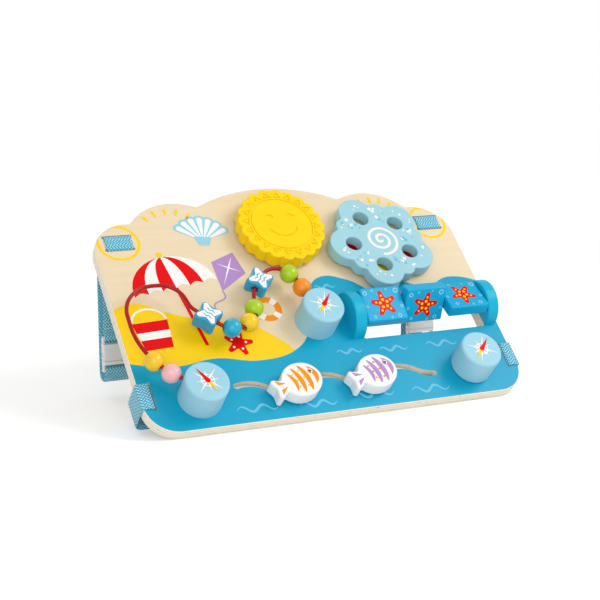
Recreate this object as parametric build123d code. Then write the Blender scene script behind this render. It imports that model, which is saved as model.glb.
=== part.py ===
from build123d import *
import math
import os

# A wooden activity board for a baby, standing on a fold-out leg. Sizes are in millimetres and
# angles in degrees. Every piece is built flat on the board first: u runs to the right along X,
# v up the board along Y and n out of the board's face along Z. The finished toy is then leaned.

# Lean of the board and the fits that all pieces share
TILT = 42.6
OVERRUN = 2.0
SEAT_GAP = 0.3
GLUE_GAP = 0.1
RUNNING_GAP = 0.2

# Plywood board; its top edge has five lobes, given as shares of half the width and of the height
BOARD_WIDTH = 380.0
BOARD_HEIGHT = 264.6
BOARD_THICKNESS = 12.0
BOARD_CORNER_RADIUS = 30.0
BOARD_EDGE_RADIUS = 1.6
LOBE_NOTCH_RADIUS = 6.0
SIDE_TOP_SHARE = 0.737
OUTER_LOBE_SHARES = (0.945, 0.828)
OUTER_NOTCH_SHARES = (0.778, 0.868)
INNER_LOBE_SHARES = (0.582, 0.951)
INNER_NOTCH_SHARES = (0.404, 0.9275)

# Wheels, dials and their hidden axles; places are shares of half the width and of the height
WHEEL_STANDOFF = 4.0
AXLE_RADIUS = 5.0
AXLE_SEAT_DEPTH = 8.0
SPACER_RADIUS = 13.0
KEEPER_RADIUS = 11.0
KEEPER_THICKNESS = 3.6
KEEPER_POCKET_DEPTH = 4.6
KEEPER_POCKET_GAP = 0.8

SUN_ACROSS_SHARE = -0.029
SUN_WIRE_GAP = 0.44
SUN_RADIUS = 44.0
SUN_THICKNESS = 14.0
SUN_SCALLOPS = 20
SUN_VALLEY_SHARE = 0.93
SUN_NOTCH_RADIUS = 1.0
SUN_EDGE_RADIUS = 1.2
SUN_GROOVE_WIDTH = 1.1
SUN_GROOVE_DEPTH = 0.8
SUN_RING_SHARE = 0.7
SUN_RAY_SHARES = (0.75, 0.91)
SUN_RAY_WIDTH_SHARE = 0.2
SUN_SMILE_SHARE = 0.34
SUN_SMILE_ARC = (205.0, 130.0)
SUN_EYE_SHARES = (0.25, 0.16)
SUN_EYE_RADIUS_SHARE = 0.1
SUN_EYE_ARC = (20.0, 140.0)

SPLASH_SUN_GAP = 2.75
SPLASH_TABLET_GAP = 4.78
SPLASH_THICKNESS = 12.0
SPLASH_FINGER_PITCH_RADIUS = 30.7
SPLASH_FINGER_RADIUS = 8.2
SPLASH_HUB_RADIUS = 41.0
SPLASH_DROP_PITCH_RADIUS = 36.0
SPLASH_DROP_RADIUS = 19.5
SPLASH_DRIP_PITCH_RADIUS = 37.5
SPLASH_DRIP_RADIUS = 9.5
SPLASH_DROPS = 5
SPLASH_FIRST_ANGLE = 40.0
SPLASH_NOTCH_RADIUS = 2.5
SPLASH_EDGE_RADIUS = 1.2

KNOB_RADIUS = 20.0
KNOB_HEIGHT = 28.5
KNOB_RIM_RADIUS = 2.4
LEFT_KNOB_SHARES = (-0.724, 0.115)
MIDDLE_KNOB_LINE_SHARE = 0.37
MIDDLE_KNOB_GAP = 11.43
RIGHT_KNOB_SHARES = (0.724, 0.1155)
DIAL_STANDOFF = 1.0

# Countersunk wood screws driven from behind
SCREW_HEAD_RADIUS = 4.0
SCREW_HEAD_HEIGHT = 2.6
SCREW_SHANK_RADIUS = 1.9
SCREW_LENGTH = 26.0

# Window with three tablets that flip on one axle between two half-round brackets
WINDOW_LINE_SHARE = 0.3753
WINDOW_WIDTH_SHARE = 0.35
WINDOW_SIDE_MARGIN = 15.96
WINDOW_HEIGHT = 50.4
WINDOW_CORNER_RADIUS = 2.0
BRACKET_RADIUS = 24.6
BRACKET_THICKNESS = 12.0
BRACKET_EDGE_RADIUS = 1.4
BRACKET_SCREW_SHARE = 0.62
TABLET_COUNT = 3
TABLET_WIDTH = 35.6
TABLET_THICKNESS = 12.0
TABLET_GAP = 0.9
TABLET_EDGE_RADIUS = 1.8
TABLET_AXLE_HEIGHT = 14.0
TABLET_AXLE_RADIUS = 3.0
TABLET_AXLE_SEAT = 8.0
TABLET_ANGLES = (11.0, 63.0, -12.0)

# Wavy slot of equal arcs, and the two fish that ride in it on pegs
WAVE_START_SHARE = -0.584
WAVE_LINE_SHARE = 0.1285
WAVE_HALF_PERIOD_SHARE = 0.1
WAVE_AMPLITUDE = 6.0
WAVE_ARCS = 6
WAVE_FIRST_TRIM_SHARE = 0.29
WAVE_LAST_TRIM_SHARE = 0.47
SLOT_WIDTH = 6.0
FISH_TROUGHS = (1, 3)
FISH_LEAN = 16.0
FISH_LENGTH = 52.0
FISH_HEIGHT = 35.0
FISH_THICKNESS = 14.0
FISH_STANDOFF = 1.2
FISH_EDGE_RADIUS = 1.6
FISH_CORNER_RADIUS = 2.6
FISH_NOSE_SHARE = 0.385
FISH_TAIL_ROOT_SHARE = 0.16
FISH_TAIL_TIP_SHARES = (0.6, 0.36)
FISH_TAIL_NOTCH_SHARE = 0.53
PEG_RADIUS = 2.6
PEG_SEAT_DEPTH = 7.0
FISH_KEEPER_RADIUS = 7.6

# Bent wire from the left knob to the middle one; corners are shares of half the width and the height,
# and each bend starts at a share of the shorter run beside it
WIRE_RADIUS = 1.8
WIRE_HEIGHT = 18.0
WIRE_SEAT_DEPTH = 7.0
WIRE_CORNER_SHARES = (
    (-0.976, 0.2396),
    (-0.974, 0.5367),
    (-0.6895, 0.5367),
    (-0.6605, 0.4327),
    (-0.4053, 0.257),
    (-0.3184, 0.48),
    (-0.211, 0.5688),
    (-0.0947, 0.5688),
)
WIRE_BEND_SHARES = (0.83, 0.57, 0.64, 0.18, 0.62, 0.136, 0.33, 0.65)

# Beads on the wire
BEAD_RADIUS = 8.8
BEAD_SLACK = 0.2
BEAD_GAP = 0.6
BEAD_REST_GAP = 1.5
GREEN_BEAD_LEAD = 4.0
STAR_POINTS = 4
STAR_RADIUS = 17.0
STAR_VALLEY_RADIUS = 8.8
STAR_THICKNESS = 15.0
STAR_TIP_RADIUS = 3.4
STAR_VALLEY_FILLET = 4.0
STAR_EDGE_RADIUS = 2.2
STAR_BORE_RADIUS = 3.5
STAR_BEAD_GAP = 3.0
UPPER_STAR_SHARE = 0.42

# Webbing straps, their slits and the buckles that close them
WEBBING_WIDTH = 26.0
WEBBING_THICKNESS = 1.4
WEBBING_TURN_RADIUS = 2.0
SLIT_LENGTH = 29.0
SLIT_WIDTH = 3.6
UPPER_SLIT_SHARES = (0.868, 0.8125)
LOWER_SLIT_SHARES = (0.868, 0.7559)
SIDE_SLIT_SHARES = (0.9447, 0.1465)
UPPER_STRAND_CLEARANCE = 7.65
UPPER_STRAND_SPREAD = 17.0
UPPER_LOOP_CLEARANCE = 14.0
SIDE_STRAND_DEPTHS = (5.6, 20.0)
SIDE_LOOP_REACH = 88.0
BUCKLE_WIDTH = 30.0
BUCKLE_THICKNESS = 8.0
BUCKLE_SOCKET_LENGTH = 16.0
BUCKLE_WALL = 1.6
BUCKLE_MOUTH_DEPTH = 12.5
BUCKLE_BAR_LENGTH = 7.0
BUCKLE_BAR_THICKNESS = 4.4
BUCKLE_BAR_WIDTH = 2.4
BUCKLE_EDGE_RADIUS = 1.2
BUCKLE_COLLAR_LENGTH = 3.4
BUCKLE_PRONG_WIDTH = 4.4
BUCKLE_PRONG_LENGTH = 10.5
BUCKLE_TONGUE_WIDTH = 8.0
BUCKLE_WINDOW_SHARES = (0.42, 0.4)

# Fold-out leg on two pins between lugs at the back
LEG_WIDTH = 110.0
LEG_THICKNESS = 12.0
LEG_LEAN = 12.0
LEG_EDGE_RADIUS = 5.0
LEG_SIDE_GAP = 0.6
PIVOT_SHARE = 0.6727
PIVOT_DEPTH = 10.0
LUG_WIDTH = 14.0
LUG_BASE_LENGTH = 40.0
LUG_BASE_HEIGHT = 3.0
LUG_ROUND_RADIUS = 9.0
LUG_TENON_DEPTH = 5.0
LUG_TENON_LENGTH = 22.0
LUG_TENON_WIDTH = 9.0
PIVOT_PIN_RADIUS = 2.5
PIVOT_PIN_DEPTH = 18.0

HALF = BOARD_WIDTH / 2
BACK = -BOARD_THICKNESS
WINDOW_WIDTH = WINDOW_WIDTH_SHARE * BOARD_WIDTH
WAVE_HALF_PERIOD = WAVE_HALF_PERIOD_SHARE * BOARD_WIDTH
WEBBING_LIFT = SEAT_GAP + WEBBING_THICKNESS / 2
BEAD_PITCH = 2 * BEAD_RADIUS + BEAD_GAP


def spot(shares, side=1):
    """Place on the board's face from shares of half the width and of the height."""
    return Vector(side * shares[0] * HALF, shares[1] * BOARD_HEIGHT)


def window_place():
    """Centre of the window, a margin away from the board's right side."""
    return Vector(HALF - WINDOW_SIDE_MARGIN - WINDOW_WIDTH / 2, WINDOW_LINE_SHARE * BOARD_HEIGHT)


def middle_knob_place():
    """Centre of the middle knob, clear of the left bracket."""
    bracket_side = window_place().X - WINDOW_WIDTH / 2 - BRACKET_THICKNESS
    return Vector(bracket_side - MIDDLE_KNOB_GAP - KNOB_RADIUS, MIDDLE_KNOB_LINE_SHARE * BOARD_HEIGHT)


def sun_place():
    """Centre of the sun, clear of beads on the top of the wire."""
    wire_top = max(share for _, share in WIRE_CORNER_SHARES) * BOARD_HEIGHT
    return Vector(SUN_ACROSS_SHARE * HALF, wire_top + BEAD_RADIUS + SUN_WIRE_GAP + SUN_RADIUS)


def splash_place():
    """Centre of the splash wheel, clear of the tablets below it and of the sun beside it."""
    reach = SPLASH_DROP_PITCH_RADIUS + SPLASH_DROP_RADIUS
    sun = sun_place()
    v = window_place().Y + TABLET_WIDTH / 2 + SPLASH_TABLET_GAP + reach
    distance = SUN_RADIUS + SPLASH_SUN_GAP + reach
    return Vector(sun.X + math.sqrt(distance ** 2 - (v - sun.Y) ** 2), v)


def polar(radius, angle):
    """Point at a distance and an angle from the origin."""
    return Vector(radius * math.cos(math.radians(angle)), radius * math.sin(math.radians(angle)))


def from_room(back, up):
    """Board's (v, n) of a point given by its distance back and its height from the front lower edge."""
    cosine = math.cos(math.radians(TILT))
    sine = math.sin(math.radians(TILT))
    return (back * cosine + up * sine, up * cosine - back * sine)


def floor_height():
    """Height of the floor, which the board's rounded back lower edge touches, from the front lower edge."""
    cosine = math.cos(math.radians(TILT))
    sine = math.sin(math.radians(TILT))
    return BOARD_EDGE_RADIUS * sine + (BACK + BOARD_EDGE_RADIUS) * cosine - BOARD_EDGE_RADIUS


def column(radius, low, high, place):
    """Upright cylinder between two heights at a place on the board."""
    disc = Plane.XY.offset(low) * Pos(place.X, place.Y) * Circle(radius)
    return extrude(disc, amount=high - low)


def ring(radius, bore, low, high, place):
    """Upright ring between two heights at a place on the board."""
    disc = Circle(radius) - Circle(bore)
    return extrude(Plane.XY.offset(low) * Pos(place.X, place.Y) * disc, amount=high - low)


def flat_edges(solid):
    """Edges of the lowest and the highest flat face of an upright plate."""
    faces = solid.faces().sort_by(Axis.Z)
    return faces[0].edges() + faces[-1].edges()


def nearest_vertex(shape, point):
    """Corner of a shape that lies closest to a point."""
    return min(shape.vertices(), key=lambda corner: (Vector(corner) - point).length)


# Board


def board_outline():
    """Panel outline with rounded lower corners and five lobes along the top."""
    corner = BOARD_CORNER_RADIUS
    side_top = SIDE_TOP_SHARE * BOARD_HEIGHT
    crown = (0, BOARD_HEIGHT)
    edges = [
        Line((corner - HALF, 0), (HALF - corner, 0)),
        CenterArc((HALF - corner, corner), corner, -90, 90),
        Line((HALF, corner), (HALF, side_top)),
        ThreePointArc((HALF, side_top), spot(OUTER_LOBE_SHARES), spot(OUTER_NOTCH_SHARES)),
        ThreePointArc(spot(OUTER_NOTCH_SHARES), spot(INNER_LOBE_SHARES), spot(INNER_NOTCH_SHARES)),
        ThreePointArc(spot(INNER_NOTCH_SHARES), crown, spot(INNER_NOTCH_SHARES, -1)),
        ThreePointArc(spot(INNER_NOTCH_SHARES, -1), spot(INNER_LOBE_SHARES, -1), spot(OUTER_NOTCH_SHARES, -1)),
        ThreePointArc(spot(OUTER_NOTCH_SHARES, -1), spot(OUTER_LOBE_SHARES, -1), (-HALF, side_top)),
        Line((-HALF, side_top), (-HALF, corner)),
        CenterArc((corner - HALF, corner), corner, 180, 90),
    ]
    face = make_face(edges)
    notches = [spot(shares, side) for shares in (OUTER_NOTCH_SHARES, INNER_NOTCH_SHARES) for side in (1, -1)]
    return fillet([nearest_vertex(face, notch) for notch in notches], LOBE_NOTCH_RADIUS)


def wave_arc(index, start_share=0.0, end_share=1.0):
    """One arc of the wavy slot: even ones are crests and odd ones troughs."""
    radius = wave_radius()
    half_angle = math.degrees(math.asin(WAVE_HALF_PERIOD / 2 / radius))
    centre = wave_centre(index)
    if index % 2:
        return CenterArc(centre, radius, -90 - half_angle + 2 * half_angle * start_share,
                         2 * half_angle * (end_share - start_share))
    return CenterArc(centre, radius, 90 + half_angle - 2 * half_angle * start_share,
                     -2 * half_angle * (end_share - start_share))


def wave_radius():
    """Radius of the slot's arcs, from half their period and their rise."""
    return ((WAVE_HALF_PERIOD / 2) ** 2 + WAVE_AMPLITUDE ** 2) / (2 * WAVE_AMPLITUDE)


def wave_centre(index):
    """Centre of one arc of the slot: below a crest, above a trough."""
    u = WAVE_START_SHARE * HALF + (index + 0.5) * WAVE_HALF_PERIOD
    rise = WAVE_AMPLITUDE - wave_radius()
    v = WAVE_LINE_SHARE * BOARD_HEIGHT
    return Vector(u, v - rise if index % 2 else v + rise)


def wave_groove(width, low, high):
    """Wavy groove of a given width between two heights, with rounded ends."""
    shape = Sketch()
    for index in range(WAVE_ARCS):
        start = WAVE_FIRST_TRIM_SHARE if index == 0 else 0.0
        end = WAVE_LAST_TRIM_SHARE if index == WAVE_ARCS - 1 else 1.0
        shape += SlotArc(wave_arc(index, start, end), width)
    return extrude(Plane.XY.offset(low) * shape, amount=high - low)


def window_sides():
    """Left and right edge of the window."""
    centre = window_place()
    return (centre.X - WINDOW_WIDTH / 2, centre.X + WINDOW_WIDTH / 2)


def through_cut(sketch):
    """Cut of a given outline right through the board."""
    return extrude(Plane.XY.offset(BACK - OVERRUN) * sketch, amount=BOARD_THICKNESS + 2 * OVERRUN)


def slit_cuts():
    """Slits that the webbing passes through, two pairs at the top and one at each side."""
    cuts = []
    for side in (-1, 1):
        for shares in (UPPER_SLIT_SHARES, LOWER_SLIT_SHARES):
            place = spot(shares, side)
            cuts.append(through_cut(Pos(place.X, place.Y) * SlotOverall(SLIT_LENGTH, SLIT_WIDTH)))
        place = spot(SIDE_SLIT_SHARES, side)
        cuts.append(through_cut(Pos(place.X, place.Y) * SlotOverall(SLIT_LENGTH, SLIT_WIDTH, rotation=90)))
    return cuts


def axle_cuts():
    """Bore and rear pocket for each of the three turning pieces."""
    cuts = []
    for place in (sun_place(), splash_place(), spot(RIGHT_KNOB_SHARES)):
        cuts.append(column(AXLE_RADIUS + RUNNING_GAP, BACK - OVERRUN, OVERRUN, place))
        cuts.append(column(KEEPER_RADIUS + KEEPER_POCKET_GAP, BACK - OVERRUN, BACK + KEEPER_POCKET_DEPTH, place))
    return cuts


def screw_form(place, growth=0.0):
    """Countersunk screw standing in the back of the board, or its hole when grown."""
    head = SCREW_HEAD_RADIUS + growth
    shank = SCREW_SHANK_RADIUS + growth
    tip = SCREW_LENGTH + growth
    outer = [(0, -OVERRUN), (head, -OVERRUN)] if growth else [(0, 0)]
    profile = outer + [(head, 0), (shank, SCREW_HEAD_HEIGHT), (shank, tip - shank), (0, tip)]
    turned = revolve(Plane.XZ * make_face(Polyline(*profile, close=True)), Axis.Z)
    return Pos(place.X, place.Y, BACK + GLUE_GAP) * turned


def anchor_screw_places():
    """Screws that hold the two fixed knobs."""
    return [spot(LEFT_KNOB_SHARES), middle_knob_place()]


def bracket_screw_places():
    """Two screws under each bracket."""
    middle = window_place().Y
    offset = BRACKET_SCREW_SHARE * BRACKET_RADIUS
    left, right = window_sides()
    centres = (left - BRACKET_THICKNESS / 2, right + BRACKET_THICKNESS / 2)
    return [Vector(u, middle + way * offset) for u in centres for way in (-1, 1)]


def tenon_form(side, growth=0.0):
    """Tenon of a lug in the back of the board, or its mortise when grown."""
    height = LUG_TENON_DEPTH + growth
    sketch = Rectangle(LUG_TENON_WIDTH + 2 * growth, LUG_TENON_LENGTH + 2 * growth)
    place = Pos(side * lug_centre(), PIVOT_SHARE * BOARD_HEIGHT)
    return extrude(Plane.XY.offset(BACK) * place * sketch, amount=height)


def board():
    """Plywood panel with all its openings, bores and pockets."""
    panel = extrude(board_outline(), amount=BACK)
    panel = fillet(flat_edges(panel), BOARD_EDGE_RADIUS)
    window = window_place()
    opening = RectangleRounded(WINDOW_WIDTH, WINDOW_HEIGHT, WINDOW_CORNER_RADIUS)
    cuts = [through_cut(Pos(window.X, window.Y) * opening)]
    cuts += slit_cuts()
    cuts += axle_cuts()
    cuts.append(wave_groove(SLOT_WIDTH, BACK - OVERRUN, OVERRUN))
    pocket = 2 * (FISH_KEEPER_RADIUS + KEEPER_POCKET_GAP)
    cuts.append(wave_groove(pocket, BACK - OVERRUN, BACK + KEEPER_POCKET_DEPTH))
    cuts += [screw_form(place, GLUE_GAP) for place in anchor_screw_places() + bracket_screw_places()]
    cuts += [tenon_form(side, GLUE_GAP) for side in (-1, 1)]
    return panel - cuts


# Turning pieces


def axle_between(place, top):
    """Dowel from its blind seat in a turning piece to the back of its keeper."""
    return column(AXLE_RADIUS, BACK + SEAT_GAP, top + AXLE_SEAT_DEPTH - GLUE_GAP, place)


def keeper(place):
    """Disc in the rear pocket that keeps a turning piece from being pulled off."""
    low = BACK + SEAT_GAP
    return ring(KEEPER_RADIUS, AXLE_RADIUS + GLUE_GAP, low, low + KEEPER_THICKNESS, place)


def spacer(place, height):
    """Wooden washer between the board and a turning piece."""
    return ring(SPACER_RADIUS, AXLE_RADIUS + RUNNING_GAP, 0, height - SEAT_GAP, place)


def axle_seat(place, top):
    """Blind hole for an axle in the underside of a turning piece."""
    return column(AXLE_RADIUS + GLUE_GAP, top - OVERRUN, top + AXLE_SEAT_DEPTH, place)


def scallop_outline():
    """Rim of the sun: equal outward arcs with softened notches."""
    step = 360 / SUN_SCALLOPS
    valley = SUN_VALLEY_SHARE * SUN_RADIUS
    arcs = []
    for index in range(SUN_SCALLOPS):
        angle = index * step
        arcs.append(ThreePointArc(
            polar(valley, angle), polar(SUN_RADIUS, angle + step / 2), polar(valley, angle + step)))
    face = make_face(arcs)
    return fillet(face.vertices(), SUN_NOTCH_RADIUS)


def ray_sketch():
    """Outline of one triangular ray, pointing outwards along X."""
    inner, outer = (share * SUN_RADIUS for share in SUN_RAY_SHARES)
    half_width = SUN_RAY_WIDTH_SHARE * SUN_RADIUS / 2
    triangle = make_face(Polyline((inner, -half_width), (outer, 0), (inner, half_width), close=True))
    return triangle - offset(triangle, -SUN_GROOVE_WIDTH)


def sun_carving():
    """Ring, rays, smile and closed eyes cut into the face of the sun."""
    middle = SUN_RING_SHARE * SUN_RADIUS
    carving = Circle(middle + SUN_GROOVE_WIDTH / 2) - Circle(middle - SUN_GROOVE_WIDTH / 2)
    step = 360 / SUN_SCALLOPS
    for index in range(SUN_SCALLOPS):
        carving += Rot(Z=(index + 0.5) * step) * ray_sketch()
    carving += SlotArc(CenterArc((0, 0), SUN_SMILE_SHARE * SUN_RADIUS, *SUN_SMILE_ARC), SUN_GROOVE_WIDTH)
    for side in (-1, 1):
        centre = (side * SUN_EYE_SHARES[0] * SUN_RADIUS, SUN_EYE_SHARES[1] * SUN_RADIUS)
        eye = CenterArc(centre, SUN_EYE_RADIUS_SHARE * SUN_RADIUS, *SUN_EYE_ARC)
        carving += SlotArc(eye, SUN_GROOVE_WIDTH)
    return carving


def sun_wheel():
    """Scalloped sun with a carved face."""
    place = sun_place()
    top = WHEEL_STANDOFF + SUN_THICKNESS
    wheel = extrude(Plane.XY.offset(WHEEL_STANDOFF) * scallop_outline(), amount=SUN_THICKNESS)
    wheel = fillet(flat_edges(wheel), SUN_EDGE_RADIUS)
    wheel -= extrude(Plane.XY.offset(top - SUN_GROOVE_DEPTH) * sun_carving(), amount=SUN_GROOVE_DEPTH + OVERRUN)
    return Pos(place.X, place.Y) * wheel - axle_seat(place, WHEEL_STANDOFF)


def splash_outline():
    """Splash of five large drops with a small drip between each two."""
    shape = Sketch() + Circle(SPLASH_HUB_RADIUS)
    step = 360 / SPLASH_DROPS
    for index in range(SPLASH_DROPS):
        angle = SPLASH_FIRST_ANGLE + index * step
        drop = polar(SPLASH_DROP_PITCH_RADIUS, angle)
        drip = polar(SPLASH_DRIP_PITCH_RADIUS, angle + step / 2)
        shape += Pos(drop.X, drop.Y) * Circle(SPLASH_DROP_RADIUS)
        shape += Pos(drip.X, drip.Y) * Circle(SPLASH_DRIP_RADIUS)
    return fillet(shape.face().outer_wire().vertices(), SPLASH_NOTCH_RADIUS)


def finger_places():
    """Centres of the finger holes, from the centre of the splash wheel."""
    step = 360 / SPLASH_DROPS
    return [polar(SPLASH_FINGER_PITCH_RADIUS, SPLASH_FIRST_ANGLE + index * step) for index in range(SPLASH_DROPS)]


def splash_wheel():
    """Splash-shaped dial with five finger holes."""
    place = splash_place()
    shape = splash_outline()
    for finger in finger_places():
        shape -= Pos(finger.X, finger.Y) * Circle(SPLASH_FINGER_RADIUS)
    wheel = extrude(Plane.XY.offset(WHEEL_STANDOFF) * shape, amount=SPLASH_THICKNESS)
    wheel = fillet(flat_edges(wheel), SPLASH_EDGE_RADIUS)
    return Pos(place.X, place.Y) * wheel - axle_seat(place, WHEEL_STANDOFF)


def knob_form(place, low):
    """Turned knob with a softened rim, standing at a height above the board."""
    knob = column(KNOB_RADIUS, low, KNOB_HEIGHT, place)
    knob = fillet(knob.faces().sort_by(Axis.Z)[-1].edges(), KNOB_RIM_RADIUS)
    return chamfer(knob.faces().sort_by(Axis.Z)[0].edges(), GLUE_GAP)


def anchor_knob(place, neighbour):
    """Fixed knob with a side hole for the wire and a screw hole underneath."""
    knob = knob_form(place, 0) - screw_form(place, GLUE_GAP)
    heading = (neighbour - place).normalized()
    start = place + heading * (KNOB_RADIUS - WIRE_SEAT_DEPTH - GLUE_GAP)
    hole_plane = Plane(origin=(start.X, start.Y, WIRE_HEIGHT), z_dir=heading)
    return knob - extrude(hole_plane * Circle(WIRE_RADIUS + GLUE_GAP), amount=WIRE_SEAT_DEPTH + OVERRUN)


def compass_knob():
    """Knob at the right that turns."""
    place = spot(RIGHT_KNOB_SHARES)
    return knob_form(place, DIAL_STANDOFF) - axle_seat(place, DIAL_STANDOFF)


# Window with tablets


def bracket(left_side, right_side):
    """Half-round end bracket between two places across the board."""
    middle = window_place().Y
    outline = make_face([
        Line((middle - BRACKET_RADIUS, 0), (middle + BRACKET_RADIUS, 0)),
        CenterArc((middle, 0), BRACKET_RADIUS, 0, 180),
    ])
    solid = extrude(Plane.YZ.offset(left_side) * outline, amount=right_side - left_side)
    rims = solid.edges().filter_by(GeomType.CIRCLE)
    return fillet(rims, BRACKET_EDGE_RADIUS)


def axle_line(start, end, radius):
    """Rod along the tablets' axle between two places across the board."""
    middle = window_place().Y
    section = Plane.YZ.offset(start) * Pos(middle, TABLET_AXLE_HEIGHT) * Circle(radius)
    return extrude(section, amount=end - start)


def finished_bracket(which):
    """Left or right bracket with its screw holes and its axle seat."""
    left, right = window_sides()
    seat = TABLET_AXLE_SEAT + GLUE_GAP
    if which == "left":
        body = bracket(left - BRACKET_THICKNESS, left)
        hole = axle_line(left - seat, left + OVERRUN, TABLET_AXLE_RADIUS + GLUE_GAP)
        places = bracket_screw_places()[:2]
    else:
        body = bracket(right, right + BRACKET_THICKNESS)
        hole = axle_line(right - OVERRUN, right + seat, TABLET_AXLE_RADIUS + GLUE_GAP)
        places = bracket_screw_places()[2:]
    return body - hole - [screw_form(place, GLUE_GAP) for place in places]


def tablet_axle():
    """Steel rod that the tablets flip on."""
    left, right = window_sides()
    return axle_line(left - TABLET_AXLE_SEAT, right + TABLET_AXLE_SEAT, TABLET_AXLE_RADIUS)


def tablet(index):
    """One rounded tablet on the axle, turned to its own angle."""
    length = (WINDOW_WIDTH - (TABLET_COUNT + 1) * TABLET_GAP) / TABLET_COUNT
    start = window_sides()[0] + TABLET_GAP + index * (length + TABLET_GAP)
    block = fillet(Box(length, TABLET_WIDTH, TABLET_THICKNESS).edges(), TABLET_EDGE_RADIUS)
    bore = Rot(Y=90) * Cylinder(TABLET_AXLE_RADIUS + RUNNING_GAP, length + 2 * OVERRUN)
    place = Pos(start + length / 2, window_place().Y, TABLET_AXLE_HEIGHT)
    return place * Rot(X=TABLET_ANGLES[index]) * (block - bore)


# Fish


def fish_outline():
    """Chubby fish with its nose along X and its peg at the origin."""
    nose = FISH_NOSE_SHARE * FISH_LENGTH
    tip_reach = FISH_TAIL_TIP_SHARES[0] * FISH_LENGTH
    tip_rise = FISH_TAIL_TIP_SHARES[1] * FISH_HEIGHT
    root = FISH_TAIL_ROOT_SHARE * FISH_LENGTH
    notch = FISH_TAIL_NOTCH_SHARE * FISH_LENGTH
    tail = make_face(Polyline((-root, 0), (-tip_reach, tip_rise), (-notch, 0), (-tip_reach, -tip_rise), close=True))
    shape = Ellipse(nose, FISH_HEIGHT / 2) + tail
    corners = shape.face().outer_wire().vertices().sort_by(Axis.X)[:5]
    return fillet(corners, FISH_CORNER_RADIUS)


def fish_place(trough):
    """Place and heading of a fish that has moved up the right slope of its trough."""
    centre = wave_centre(trough)
    peg = centre + polar(wave_radius(), FISH_LEAN - 90)
    return Pos(peg.X, peg.Y) * Rot(Z=FISH_LEAN)


def fish(trough):
    """Fish block with a blind hole for its peg."""
    block = extrude(Plane.XY.offset(FISH_STANDOFF) * fish_outline(), amount=FISH_THICKNESS)
    block = fillet(flat_edges(block), FISH_EDGE_RADIUS)
    block -= column(PEG_RADIUS + GLUE_GAP, 0, FISH_STANDOFF + PEG_SEAT_DEPTH, Vector())
    return fish_place(trough) * block


def fish_peg(trough):
    """Dowel that guides a fish along the slot."""
    peg = column(PEG_RADIUS, BACK + SEAT_GAP, FISH_STANDOFF + PEG_SEAT_DEPTH - GLUE_GAP, Vector())
    return fish_place(trough) * peg


def fish_keeper(trough):
    """Disc on the end of a peg, in the wavy pocket at the back."""
    low = BACK + SEAT_GAP
    disc = ring(FISH_KEEPER_RADIUS, PEG_RADIUS + GLUE_GAP, low, low + KEEPER_THICKNESS, Vector())
    return fish_place(trough) * disc


# Wire and beads


def wire_corners():
    """Corners of the wire's route, from inside the left knob to inside the middle one."""
    inner = [spot(shares) for shares in WIRE_CORNER_SHARES]
    reach = KNOB_RADIUS - WIRE_SEAT_DEPTH
    left = spot(LEFT_KNOB_SHARES)
    middle = middle_knob_place()
    start = left + (inner[0] - left).normalized() * reach
    end = middle + (inner[-1] - middle).normalized() * reach
    return [start] + inner + [end]


def bend(number):
    """Arc at one corner of the wire: its centre, start, radius, first heading and turn."""
    corners = wire_corners()
    before, corner, after = corners[number - 1:number + 2]
    arrive = corner - before
    leave = after - corner
    first = math.degrees(math.atan2(arrive.Y, arrive.X))
    turn = (math.degrees(math.atan2(leave.Y, leave.X)) - first + 180) % 360 - 180
    setback = WIRE_BEND_SHARES[number - 1] * min(arrive.length, leave.length)
    radius = setback / math.tan(math.radians(abs(turn) / 2))
    start = corner - arrive.normalized() * setback
    side = math.copysign(90, turn)
    centre = start + polar(radius, first + side)
    return centre, start, radius, first, turn


def wire_route():
    """Straight runs and tangent arcs of the wire."""
    corners = [Vector(point.X, point.Y, WIRE_HEIGHT) for point in wire_corners()]
    radii = [bend(number)[2] for number in range(1, len(corners) - 1)]
    return FilletPolyline(*corners, radius=radii)


def bead_wire():
    """Coated steel wire pushed into both knobs."""
    route = wire_route()
    section = Plane(origin=route @ 0, z_dir=route % 0) * Circle(WIRE_RADIUS)
    return sweep(section, path=route)


def bow(radius):
    """How far a wire bent to a radius leaves the middle of a bead's straight bore, halved."""
    return BEAD_RADIUS ** 2 / (2 * radius) / 2


def bead_bends():
    """Numbers of the bends that carry round beads: the first, the valley and the last."""
    return 1, 5, len(WIRE_CORNER_SHARES)


def bead_bore():
    """Radius of a round bead's bore, wide enough for the tightest bend that carries one."""
    tightest = min(bend(number)[2] for number in bead_bends())
    return WIRE_RADIUS + SEAT_GAP + BEAD_SLACK + bow(tightest)


def hanging_height(bore, sideways=0.0):
    """Height of a bead whose bore hangs on the wire and lies some way to its side."""
    slack = bore - WIRE_RADIUS - SEAT_GAP
    return WIRE_HEIGHT - math.sqrt(slack ** 2 - sideways ** 2)


def on_bend(number, angle):
    """Place on a bend, an angle after its start, for a round bead with a straight bore."""
    centre, start, radius, first, turn = bend(number)
    way = math.copysign(1, turn)
    sideways = bow(radius)
    outward = first - way * 90 + way * angle
    point = centre + polar(radius - sideways, outward)
    return Pos(point.X, point.Y, hanging_height(bead_bore(), sideways)) * Rot(Z=first + way * angle)


def after_bend(number, distance):
    """Place on the straight run that follows a bend."""
    centre, start, radius, first, turn = bend(number)
    heading = first + turn
    end = centre + polar(radius, heading - math.copysign(90, turn))
    point = end + polar(distance, heading)
    return Pos(point.X, point.Y, hanging_height(bead_bore())) * Rot(Z=heading)


def angle_before_end(number, lead):
    """Angle from a bead on a bend to the bend's end, when it touches one on the run a lead past the end."""
    radius = bend(number)[2]
    path = radius - bow(radius)
    ratio = (BEAD_PITCH ** 2 - lead ** 2 - path ** 2 - radius ** 2) / (2 * path * math.hypot(lead, radius))
    return math.degrees(math.atan2(radius, lead) + math.asin(ratio))


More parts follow.
